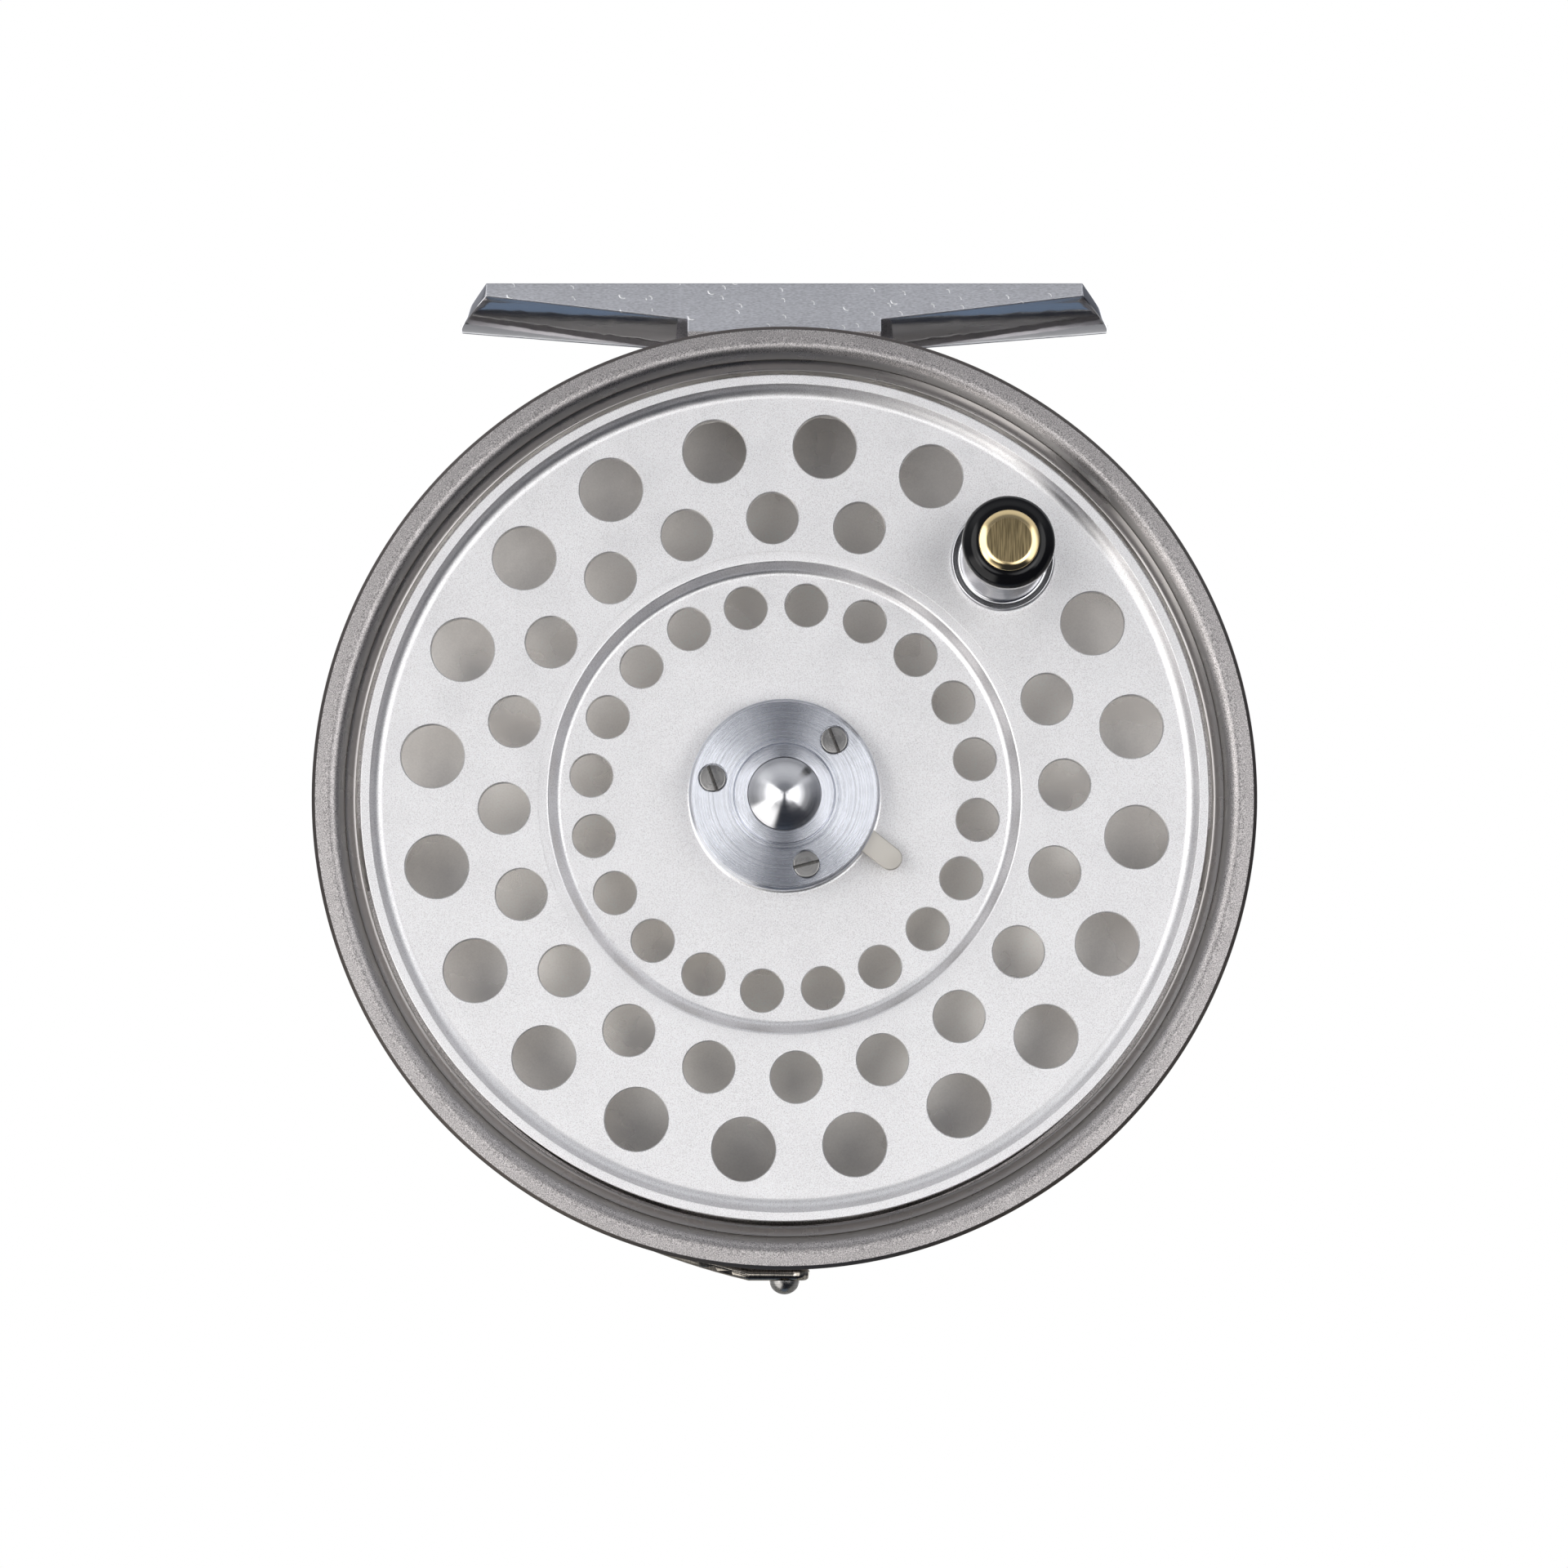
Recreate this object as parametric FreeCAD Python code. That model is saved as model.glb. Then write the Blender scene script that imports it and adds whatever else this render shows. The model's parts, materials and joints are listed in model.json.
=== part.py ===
"""Click-and-pawl fly reel, 3 1/2 inch, as separate named solids.

Millimetres. +X right, +Y from the handle side to the back, +Z up to the rod.
The shapes are built around the spindle axis, which is Y, with Y = 0 half way through the frame.
The finished parts are then moved down, so that the origin is on the rod's axis, over mid foot.
"""

import FreeCAD, Part

import math
import os

from FreeCAD import Vector

# ---- driving dimensions -------------------------------------------------------------------
FAR = 60.0               # half length of a cutter that goes right through
RUN = 0.05               # radial clearance of a running fit
FIT = 0.02               # radial clearance round a screw or a fixed pin
TINY = 0.01              # slack when edges are picked by their place
HOLE_BREAK = 0.08        # broken edge of the holes in spool and back

FRAME_R = 44.5           # outer radius of ring and back
FRAME_BORE_R = 40.45     # opening that the spool runs in
FRONT_Y = -13.5          # face of the ring
BACK_Y = 13.5            # face of the back
RING_REAR_Y = -9.6
RING_FALL = 0.12         # how far the ring's face falls back towards its outside
BACK_RIM_Y = 7.4         # front edge of the back's deep rim
FIELD_BACK_Y = 12.7      # perforated field of the back
FIELD_INNER_Y = 11.1
BOSS_INNER_Y = 11.7      # inside of the back's solid middle
BOSS_R = 23.6
BACK_HOLES = ((34.6, 3.0), (27.9, 2.4))      # pitch radius, hole radius
HOLE_COUNT = 20

PILLAR_INNER_R = 41.1
PILLAR_OUTER_R = 44.2
PILLARS = {              # middle and width in degrees
    "pillar_left": (187.0, 8.0),
    "pillar_right": (353.0, 8.0),
    "pillar_bottom": (270.0, 10.4),
}
BRIDGE_WIDTH = 28.0      # degrees
SCREW_CIRCLE_R = 42.7
LONG_SCREW_ANGLES = (78.5, 101.5, 187.0, 273.0, 353.0)
LONG_SCREW_R = 0.9
LONG_SCREW_HEAD_R = 1.8
LONG_SCREW_HEAD_Y = 12.6 # front of the countersunk head
LONG_SCREW_TIP_Y = -11.8
SMALL_SCREW_R = 0.75     # screws of hub cover and ratchet

FOOT_HALF_W = 6.5
FOOT_TOP_Z = 49.9        # long edges of the saddle
SADDLE_R = 7.95
FOOT_EDGE_HALF = 28.55   # half length along the long edges
FOOT_TIP_HALF = 31.3     # half length along the middle
WING_TIP_Z = (48.45, 45.85)      # underside at the tip: long edge, middle
WING_ROOT_Z = (46.2, 44.1)       # underside at the block
BLOCK_HALF = 9.3
PAD_Z = 45.0             # seam between foot and bridge
FOOT_EDGE_R = 0.12       # rounding of the foot's outside edges
FOOT_SCREW_X = 5.2
FOOT_SCREW_Y = 3.6
SEAT_Z = FOOT_TOP_Z + math.sqrt(SADDLE_R ** 2 - FOOT_HALF_W ** 2)

GUARD_THICK = 1.25
GUARD_FLAT_Z = -44.3     # top of the guard's two tabs
GUARD_BEND_X = -3.4
GUARD_END_X = 2.4
GUARD_EDGE_R = 0.55      # rounding of the guard's edges
GUARD_MID = (44.88, -101.8)      # radius and angle of a point on the outside of the bow
GUARD_STOP = (44.3, -126.0)      # the same where the guard's side view ends, past its bow
GUARD_BOW_X = -16.0      # centre of the bow's round end
GUARD_LEGS_Y = (-7.6, 5.4)
GUARD_LEG_W = 3.2
GUARD_DOME_R = 1.52      # domed screw heads

SPINDLE_R = 3.5
SPINDLE_HEAD_R = 3.42
GROOVE_R = 2.6
GROOVE_Y = (-13.75, -12.45)

SPOOL_R = 40.0
LIP_R = 39.18            # inner edge of the raised lip
RIM_Y = -12.5            # front of the lip
OUTER_FIELD_Y = -11.5
STEP_FIELD_Y = -11.35
INNER_FIELD_Y = -10.1
FACE_REAR_Y = -10.3
HUB_REAR_Y = -8.9
STEP_R = 23.3
DISH_R = 22.3
HUB_R = 8.6
ARBOR_R = 12.7
FLANGE_Y = (7.4, 8.6)
BUSH_R = 4.6
FACE_RINGS = (           # pitch radius, hole radius, field, first hole in degrees, holes left out
    (33.44, 3.0, OUTER_FIELD_Y, 11.42, (2,)),
    (26.47, 2.44, OUTER_FIELD_Y, 2.42, (2, 3)),
    (18.38, 2.03, INNER_FIELD_Y, 11.44, ()),
)

COVER_R = 9.0
COVER_FACE_R = 8.7
COVER_Y = -14.9
COVER_CAVITY_Y = -13.7
COVER_BOSS_R = 4.75
COVER_BOSS_Y = -15.4
COVER_SCREWS = ((47.4, -68.0), (167.4, -70.0), (287.4, 14.5))    # place, slot direction
COVER_SCREW_CIRCLE_R = 6.9
COVER_SCREW_HEAD_R = 1.26
COVER_SCREW_HEAD = 0.8   # thickness of the head
COVER_SCREW_TIP_Y = -4.0

LATCH_ANGLE = -38.2      # direction of the release lever
LATCH_Y = (-13.6, -12.6)
LATCH_EYE_R = 1.9
LATCH_RING_R = 4.9
LATCH_EDGE_R = 0.12
LATCH_PIVOT = -6.0       # pivot on the lever's own long axis
PIVOT_R = 0.95
PIVOT_REAR_Y = -10.4
LATCH_TAB = (0.4, 2.6)   # sides of the tab, across the lever
LATCH_REACH = 12.7
LATCH_OPENING_R = 3.65   # hole that grips the spindle's groove from one side

RATCHET_R = 8.6
RATCHET_ROOT_R = 7.7
RATCHET_Y = (8.6, 10.3)
TEETH = 36
RATCHET_SCREW_CIRCLE_R = 6.1
RATCHET_SCREW_TIP_Y = 3.0

PAWL_ANGLES = {"upper": 90.0, "lower": 270.0}
PAWL_Y = (9.0, 10.4)
PAWL_REACH = 5.4         # pivot to tip
PAWL_PIN_R = 1.1
PAWL_BACK = 2.6          # pivot to flat back
PAWL_PIVOT_R = RATCHET_R + 0.08 + PAWL_REACH
LEAF_THICK = 0.35
LEAF_HALF = 8.2
LEAF_POST_S = 7.0
LEAF_POST_R = 0.9
CAM_R = 1.6
CAM_THROW = 0.4
ADJUSTER_R = PAWL_PIVOT_R + 5.05
ADJUSTER_SHAFT_R = 1.5
ADJUSTER_KNOB_R = 4.2

HANDLE_R = 30.5          # handle's circle
HANDLE_ANGLE = 47.4
FERRULE_R = 4.95
POST_R = 1.5
RIVETED_R = 2.2          # rear end of the post, spread in the spool
RIVETED_Y = -11.0
KNOB_R = 4.3
KNOB_Y = (-27.6, -13.75)
RIVET_R = 2.82
RIVET_Y = -28.4
RIVET_SHANK_R = 0.85
RIVET_TIP_Y = -23.1

Y_AXIS = Vector(0, 1, 0)
Z_AXIS = Vector(0, 0, 1)


# ---- shape helpers ------------------------------------------------------------------------
def polar(radius, degrees):
    """X and Z of a point seen from the handle side."""
    angle = math.radians(degrees)
    return radius * math.cos(angle), radius * math.sin(angle)


def corner_arc(before, here, after, radius):
    """Start, middle and end of a fillet at one corner of an outline."""
    to_before = (before - here).normalize()
    to_after = (after - here).normalize()
    half = to_before.getAngle(to_after) / 2
    reach = radius / math.tan(half)
    centre = here + (to_before + to_after).normalize() * (radius / math.sin(half))
    middle = centre + (here - centre).normalize() * radius
    return here + to_before * reach, middle, here + to_after * reach


def outline(corners):
    """Closed wire in the XY plane; a corner is (x, y) or (x, y, fillet radius)."""
    points = [Vector(corner[0], corner[1], 0) for corner in corners]
    bends = []
    for index, corner in enumerate(corners):
        here = points[index]
        if len(corner) == 3:
            after = points[(index + 1) % len(points)]
            bends.append(corner_arc(points[index - 1], here, after, corner[2]))
        else:
            bends.append((here, None, here))
    edges = []
    for index, (start, middle, end) in enumerate(bends):
        if middle:
            edges.append(Part.Arc(start, middle, end).toShape())
        following = bends[(index + 1) % len(bends)][0]
        if end.distanceToPoint(following) > 1e-6:
            edges.append(Part.makeLine(end, following))
    return Part.Wire(edges)


def turned(corners, x=0.0, z=0.0):
    """Outline of (radius, y) corners spun about an axis along Y."""
    shape = Part.Face(outline(corners)).revolve(Vector(0, 0, 0), Y_AXIS, 360)
    shape.translate(Vector(x, 0, z))
    return shape


def plate(corners, low_y, high_y):
    """Outline of (x, z) corners, extruded along Y."""
    wire = outline(corners)
    wire.rotate(Vector(0, 0, 0), Vector(1, 0, 0), 90)
    wire.translate(Vector(0, low_y, 0))
    return Part.Face(wire).extrude(Vector(0, high_y - low_y, 0))


def rod(radius, low_y, high_y, x=0.0, z=0.0):
    """Cylinder along Y."""
    return Part.makeCylinder(radius, high_y - low_y, Vector(x, low_y, z), Y_AXIS)


def bore(radius, x=0.0, z=0.0):
    """Cutter along Y that goes right through."""
    return rod(radius, -FAR, FAR, x, z)


def broken_bore(radius, x, z, field_y, side):
    """Cutter of a through hole whose edge is broken on the side, -1 or 1, that a field faces."""
    wide = radius + HOLE_BREAK
    corners = [(wide, field_y), (radius, field_y - side * HOLE_BREAK)]
    ends = [(0, side * FAR), (wide, side * FAR)], [(radius, -side * FAR), (0, -side * FAR)]
    return turned(ends[0] + corners + ends[1], x, z)


def cone(low_r, high_r, low_y, high_y, x=0.0, z=0.0):
    """Cone along Y."""
    return Part.makeCone(low_r, high_r, high_y - low_y, Vector(x, low_y, z), Y_AXIS)


def box(low, high):
    """Box between two corners."""
    size = [high[i] - low[i] for i in range(3)]
    return Part.makeBox(*size, Vector(*low))


def sector(inner_r, outer_r, low_y, high_y, middle, width):
    """Stretch of a tube's wall, centred on an angle."""
    first = middle - width / 2
    last = middle + width / 2
    corners = [(inner_r, first), (outer_r, first), (outer_r, last), (inner_r, last)]
    points = [Vector(x, low_y, z) for x, z in (polar(*corner) for corner in corners)]
    outer_x, outer_z = polar(outer_r, middle)
    inner_x, inner_z = polar(inner_r, middle)
    edges = [
        Part.makeLine(points[0], points[1]),
        Part.Arc(points[1], Vector(outer_x, low_y, outer_z), points[2]).toShape(),
        Part.makeLine(points[2], points[3]),
        Part.Arc(points[3], Vector(inner_x, low_y, inner_z), points[0]).toShape(),
    ]
    return Part.Face(Part.Wire(edges)).extrude(Vector(0, high_y - low_y, 0))


def turn(shape, degrees):
    """Turn about the spindle axis, counter-clockwise seen from the handle side."""
    copy = shape.copy()
    copy.rotate(Vector(0, 0, 0), Y_AXIS, -degrees)
    return copy


def slot_cutter(x, z, degrees, width, length, low_y, high_y):
    """Bar with sharp edges front and rear, that cuts a screwdriver slot with a V floor."""
    half = width / 2
    section = [(0, low_y), (half, low_y + half), (half, high_y - half),
               (0, high_y), (-half, high_y - half), (-half, low_y + half)]
    corners = [Vector(-length / 2, y, across) for across, y in section]
    bar = Part.Face(Part.makePolygon(corners + corners[:1])).extrude(Vector(length, 0, 0))
    bar.rotate(Vector(0, 0, 0), Y_AXIS, -degrees)
    bar.translate(Vector(x, 0, z))
    return bar


def rounded(shape, radius, wanted=None):
    """Shape with its edges rounded, or only those that a test picks."""
    edges = [edge for edge in shape.Edges if wanted is None or wanted(edge)]
    return shape.makeFillet(radius, edges)


def flat_across_y(edge):
    """Whether an edge lies in a plane that faces along Y."""
    return edge.BoundBox.YLength < TINY


def cut_all(shape, cutters):
    """Shape less a list of cutters."""
    return shape.cut(Part.makeCompound(cutters)) if cutters else shape


# ---- frame --------------------------------------------------------------------------------
def long_screw_places():
    return [polar(SCREW_CIRCLE_R, angle) for angle in LONG_SCREW_ANGLES]


def long_screw_holes():
    return [bore(LONG_SCREW_R + FIT, x, z) for x, z in long_screw_places()]


def make_ring():
    ring = turned([
        (FRAME_BORE_R, RING_REAR_Y),
        (FRAME_BORE_R, -11.56, 0.12),
        (41.4, -12.45, 0.2),
        (42.4, FRONT_Y, 0.75),
        (FRAME_R - 0.28, FRONT_Y + RING_FALL, 0.06),
        (FRAME_R, FRONT_Y + RING_FALL + 0.38, 0.1),
        (FRAME_R, RING_REAR_Y),
    ])
    holes = [rod(LONG_SCREW_R + FIT, LONG_SCREW_TIP_Y - 0.1, RING_REAR_Y, x, z)
             for x, z in long_screw_places()]
    return cut_all(ring, holes)


def make_back():
    back = turned([
        (3.0 + FIT, BOSS_INNER_Y),
        (BOSS_R - 0.8, BOSS_INNER_Y),
        (BOSS_R - 0.2, FIELD_INNER_Y),
        (FRAME_BORE_R, FIELD_INNER_Y, 0.6),
        (FRAME_BORE_R, BACK_RIM_Y),
        (FRAME_R, BACK_RIM_Y),
        (FRAME_R, BACK_Y - 0.4, 0.1),
        (FRAME_R - 0.28, BACK_Y, 0.06),
        (41.4, BACK_Y, 0.4),
        (40.6, FIELD_BACK_Y, 0.6),
        (BOSS_R + 0.9, FIELD_BACK_Y, 0.6),
        (BOSS_R, BACK_Y, 0.3),
        (3.0 + FIT, BACK_Y),
    ])
    cutters = long_screw_holes()
    for pitch, hole in BACK_HOLES:
        for index in range(HOLE_COUNT):
            x, z = polar(pitch, (index + 0.5) * 360 / HOLE_COUNT)
            cutters.append(broken_bore(hole, x, z, FIELD_BACK_Y, 1))
    for x, z in long_screw_places():
        sink = cone(LONG_SCREW_R + FIT, LONG_SCREW_HEAD_R + FIT, LONG_SCREW_HEAD_Y, BACK_Y, x, z)
        cutters.append(sink)
    for angle in PAWL_ANGLES.values():
        for radius, across, hole in post_places():
            cutters.append(turn(bore(hole + FIT, radius, across), angle))
    cutters.append(bore(ADJUSTER_SHAFT_R + RUN, *polar(ADJUSTER_R, PAWL_ANGLES["lower"])))
    return cut_all(back, cutters)


def pillar_block(middle, width):
    return sector(PILLAR_INNER_R, PILLAR_OUTER_R, RING_REAR_Y, BACK_RIM_Y, middle, width)


def make_pillar(name):
    return cut_all(pillar_block(*PILLARS[name]), long_screw_holes())


def make_bottom_pillar():
    """Pillar with the flat that the guard's tabs are screwed to."""
    flat = box((-3.0, RING_REAR_Y, GUARD_FLAT_Z), (3.0, BACK_RIM_Y, -42.0))
    pillar = pillar_block(*PILLARS["pillar_bottom"]).fuse(flat).removeSplitter()
    cutters = long_screw_holes()
    cutters += [guard_screw_shank(leg_y, FIT) for leg_y in GUARD_LEGS_Y]
    return cut_all(pillar, cutters)


def make_bridge():
    bridge = pillar_block(90.0, BRIDGE_WIDTH)
    pad = box((-BLOCK_HALF + 0.1, -FOOT_HALF_W, 42.5), (BLOCK_HALF - 0.1, FOOT_HALF_W, PAD_Z))
    bridge = bridge.fuse(pad).removeSplitter()
    cutters = long_screw_holes()
    for x, y in foot_screw_places():
        cutters += foot_screw_solids(x, y, FIT)
        cutters.append(Part.makeCylinder(2.05, 3.0, Vector(x, y, 38.0), Z_AXIS))
    return cut_all(bridge, cutters)


def make_long_screws():
    screws = []
    for x, z in long_screw_places():
        shank = rod(LONG_SCREW_R, LONG_SCREW_TIP_Y, LONG_SCREW_HEAD_Y + 0.1, x, z)
        head = cone(LONG_SCREW_R, LONG_SCREW_HEAD_R, LONG_SCREW_HEAD_Y, BACK_Y, x, z)
        slot = slot_cutter(x, z, 30.0, 0.4, 5.0, BACK_Y - 0.4, FAR)
        screws.append(shank.fuse(head).cut(slot))
    return Part.makeCompound(screws)


# ---- foot ---------------------------------------------------------------------------------
def wing_section(x):
    """Closed section of a foot wing, with its round underside, at one distance from mid foot."""
    share = (abs(x) - BLOCK_HALF) / (FOOT_EDGE_HALF - BLOCK_HALF)
    edge_z = WING_ROOT_Z[0] + share * (WING_TIP_Z[0] - WING_ROOT_Z[0])
    share = (abs(x) - BLOCK_HALF) / (FOOT_TIP_HALF - BLOCK_HALF)
    middle_z = WING_ROOT_Z[1] + share * (WING_TIP_Z[1] - WING_ROOT_Z[1])
    top_z = FOOT_TOP_Z + 1.0
    left = Vector(x, -FOOT_HALF_W, edge_z)
    right = Vector(x, FOOT_HALF_W, edge_z)
    top_left = Vector(x, -FOOT_HALF_W, top_z)
    top_right = Vector(x, FOOT_HALF_W, top_z)
    return Part.Wire([
        Part.Arc(left, Vector(x, 0, middle_z), right).toShape(),
        Part.makeLine(right, top_right),
        Part.makeLine(top_right, top_left),
        Part.makeLine(top_left, left),
    ])


def foot_plan():
    """Prism of the foot's plan, with its two round ends."""
    corners = [Vector(side * FOOT_EDGE_HALF, y, 40.0)
               for side, y in ((-1, -FOOT_HALF_W), (1, -FOOT_HALF_W),
                               (1, FOOT_HALF_W), (-1, FOOT_HALF_W))]
    edges = [
        Part.makeLine(corners[0], corners[1]),
        Part.Arc(corners[1], Vector(FOOT_TIP_HALF, 0, 40.0), corners[2]).toShape(),
        Part.makeLine(corners[2], corners[3]),
        Part.Arc(corners[3], Vector(-FOOT_TIP_HALF, 0, 40.0), corners[0]).toShape(),
    ]
    return Part.Face(Part.Wire(edges)).extrude(Vector(0, 0, 20.0))


def foot_screw_places():
    return [(x, y) for x in (-FOOT_SCREW_X, FOOT_SCREW_X) for y in (-FOOT_SCREW_Y, FOOT_SCREW_Y)]


def foot_screw_solids(x, y, grow=0.0):
    """Countersunk head and shank of one foot screw."""
    head = Part.makeCone(2.0 + grow, 1.0 + grow, 0.9, Vector(x, y, 41.0), Z_AXIS)
    shank = Part.makeCylinder(1.0 + grow, 5.6 + grow, Vector(x, y, 41.2), Z_AXIS)
    return [head, shank]


def foot_corner(edge):
    """Whether an edge is on a wing, or upright between the block's side and front or rear."""
    span = edge.BoundBox
    near, far = sorted((abs(span.XMin), abs(span.XMax)))
    on_wing = near > BLOCK_HALF - TINY and far > BLOCK_HALF + TINY
    vertical = max(span.XLength, span.YLength) < TINY
    return on_wing or (vertical and span.ZMax < WING_ROOT_Z[0] + TINY)


def make_foot():
    block = box((-BLOCK_HALF, -FOOT_HALF_W, PAD_Z), (BLOCK_HALF, FOOT_HALF_W, FOOT_TOP_Z + 1.0))
    foot = block
    for side in (-1, 1):
        ends = [wing_section(side * BLOCK_HALF), wing_section(side * (FOOT_TIP_HALF + 1.0))]
        foot = foot.fuse(Part.makeLoft(ends, True, True))
    foot = foot.removeSplitter().common(foot_plan())
    seat = Part.makeCylinder(SADDLE_R, 80.0, Vector(-40.0, 0, SEAT_Z), Vector(1, 0, 0))
    cutters = [seat]
    for x, y in foot_screw_places():
        cutters.append(foot_screw_solids(x, y, FIT)[1])
    return rounded(cut_all(foot, cutters), FOOT_EDGE_R, foot_corner)


def make_foot_screws():
    screws = []
    for x, y in foot_screw_places():
        head, shank = foot_screw_solids(x, y)
        slot = box((x - 2.5, y - 0.25, 40.5), (x + 2.5, y + 0.25, 41.4))
        screws.append(head.fuse(shank).cut(slot))
    return Part.makeCompound(screws)


# ---- line guard ---------------------------------------------------------------------------
def guard_edge(depth):
    """Lower edge of the guard's side view, or a line at a depth inside it, and where it stops."""
    flat_z = GUARD_FLAT_Z - GUARD_THICK + depth
    places = [polar(radius - depth, angle) for radius, angle in (GUARD_MID, GUARD_STOP)]
    middle, last = [Vector(x, 0, z) for x, z in places]
    bend = Vector(GUARD_BEND_X + 0.13 * depth, 0, flat_z)
    tip = Vector(GUARD_END_X, 0, flat_z)
    return [Part.makeLine(tip, bend), Part.Arc(bend, middle, last).toShape()], tip, last


def guard_strip(low_y, high_y):
    """Guard's side view, as wide as its bow."""
    lower, lower_tip, lower_last = guard_edge(0.0)
    upper, upper_tip, upper_last = guard_edge(GUARD_THICK)
    closing = [Part.makeLine(lower_last, upper_last), Part.makeLine(upper_tip, lower_tip)]
    wire = Part.Wire(Part.__sortEdges__(lower + upper + closing))
    wire.translate(Vector(0, low_y, 0))
    return Part.Face(wire).extrude(Vector(0, high_y - low_y, 0))


def upright(radius, x, y):
    """Round post through the guard's plan."""
    return Part.makeCylinder(radius, 20.0, Vector(x, y, -50.0), Z_AXIS)


def make_guard():
    front = GUARD_LEGS_Y[0] - GUARD_LEG_W / 2
    rear = GUARD_LEGS_Y[1] + GUARD_LEG_W / 2
    middle_y = (front + rear) / 2
    end_x = GUARD_END_X - GUARD_LEG_W / 2
    plan = box((GUARD_BOW_X, front, -50.0), (end_x, rear, -30.0))
    plan = plan.fuse([upright((rear - front) / 2, GUARD_BOW_X, middle_y)]
                     + [upright(GUARD_LEG_W / 2, end_x, leg_y) for leg_y in GUARD_LEGS_Y])
    inner_low = front + GUARD_LEG_W
    inner_high = rear - GUARD_LEG_W
    window = box((GUARD_BOW_X, inner_low, -50.0), (5.0, inner_high, -30.0))
    window = window.fuse(upright((inner_high - inner_low) / 2, GUARD_BOW_X, middle_y))
    guard = guard_strip(front, rear).common(plan).cut(window).removeSplitter()
    guard = rounded(guard, GUARD_EDGE_R)
    return cut_all(guard, [guard_screw_shank(leg_y, FIT) for leg_y in GUARD_LEGS_Y])


def guard_screw_shank(leg_y, grow=0.0):
    low_z = GUARD_FLAT_Z - GUARD_THICK - grow
    return Part.makeCylinder(0.8 + grow, 3.0 + 2 * grow, Vector(0, leg_y, low_z), Z_AXIS)


def make_guard_screws():
    screws = []
    head_z = GUARD_FLAT_Z - GUARD_THICK
    for leg_y in GUARD_LEGS_Y:
        ball = Part.makeSphere(GUARD_DOME_R, Vector(0, leg_y, head_z + 0.2))
        head = ball.common(box((-2, leg_y - 2, head_z - 2), (2, leg_y + 2, head_z)))
        slot = box((-2, leg_y - 0.2, head_z - 2), (2, leg_y + 0.2, head_z - 0.8))
        screws.append(head.cut(slot).fuse(guard_screw_shank(leg_y)))
    return Part.makeCompound(screws)


# ---- spindle ------------------------------------------------------------------------------
def make_spindle():
    return turned([
        (0, 14.9),
        (0, -16.95),
        (0.9, -16.78, 3.5),
        (1.8, -16.45, 4.0),
        (2.7, -15.95, 4.0),
        (SPINDLE_HEAD_R, COVER_BOSS_Y + 0.03, 0.1),
        (SPINDLE_HEAD_R, GROOVE_Y[0]),
        (GROOVE_R, GROOVE_Y[0]),
        (GROOVE_R, GROOVE_Y[1]),
        (SPINDLE_R, GROOVE_Y[1]),
        (SPINDLE_R, 10.6),
        (6.0, 10.6, 0.2),
        (6.0, BOSS_INNER_Y),
        (3.0, BOSS_INNER_Y),
        (3.0, 14.9, 0.2),
    ])


def make_spindle_nut():
    nut = turned([
        (3.0 + FIT, BACK_Y),
        (5.4, BACK_Y),
        (5.4, 14.9, 0.5),
        (3.6, 15.4, 0.6),
        (3.0 + FIT, 15.4),
    ])
    holes = [rod(0.6, 14.2, 16.0, *polar(4.3, angle)) for angle in (0.0, 180.0)]
    return cut_all(nut, holes)


# ---- spool --------------------------------------------------------------------------------
def cover_screw_places():
    return [polar(COVER_SCREW_CIRCLE_R, angle) for angle, _ in COVER_SCREWS]


def ratchet_screw_places():
    return [polar(RATCHET_SCREW_CIRCLE_R, angle) for angle in (30, 150, 270)]


def make_face():
    face = turned([
        (BUSH_R + FIT, RIM_Y),
        (HUB_R, RIM_Y, 0.15),
        (HUB_R, INNER_FIELD_Y, 0.6),
        (DISH_R - 0.75, INNER_FIELD_Y, 0.8),
        (DISH_R, STEP_FIELD_Y, 0.3),
        (STEP_R, STEP_FIELD_Y),
        (STEP_R, OUTER_FIELD_Y),
        (LIP_R - 0.75, OUTER_FIELD_Y, 0.9),
        (LIP_R, RIM_Y, 0.12),
        (SPOOL_R, RIM_Y, 0.2),
        (SPOOL_R, FACE_REAR_Y, 0.3),
        (STEP_R + 0.6, FACE_REAR_Y, 0.5),
        (DISH_R + 0.3, HUB_REAR_Y, 0.5),
        (BUSH_R + FIT, HUB_REAR_Y),
    ])
    cutters = []
    for pitch, hole, field_y, first, skipped in FACE_RINGS:
        for index in range(HOLE_COUNT):
            if index not in skipped:
                x, z = polar(pitch, first + index * 360 / HOLE_COUNT)
                cutters.append(broken_bore(hole, x, z, field_y, -1))
    cutters += [bore(SMALL_SCREW_R + FIT, x, z) for x, z in cover_screw_places()]
    x, z = polar(-LATCH_PIVOT, LATCH_ANGLE + 180)
    cutters.append(rod(PIVOT_R + FIT, -FAR, PIVOT_REAR_Y, x, z))
    x, z = polar(HANDLE_R, HANDLE_ANGLE)
    cutters.append(bore(POST_R + FIT, x, z))
    cutters.append(cone(POST_R + FIT, RIVETED_R + FIT, RIVETED_Y, FACE_REAR_Y, x, z))
    return cut_all(face, cutters)


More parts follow.
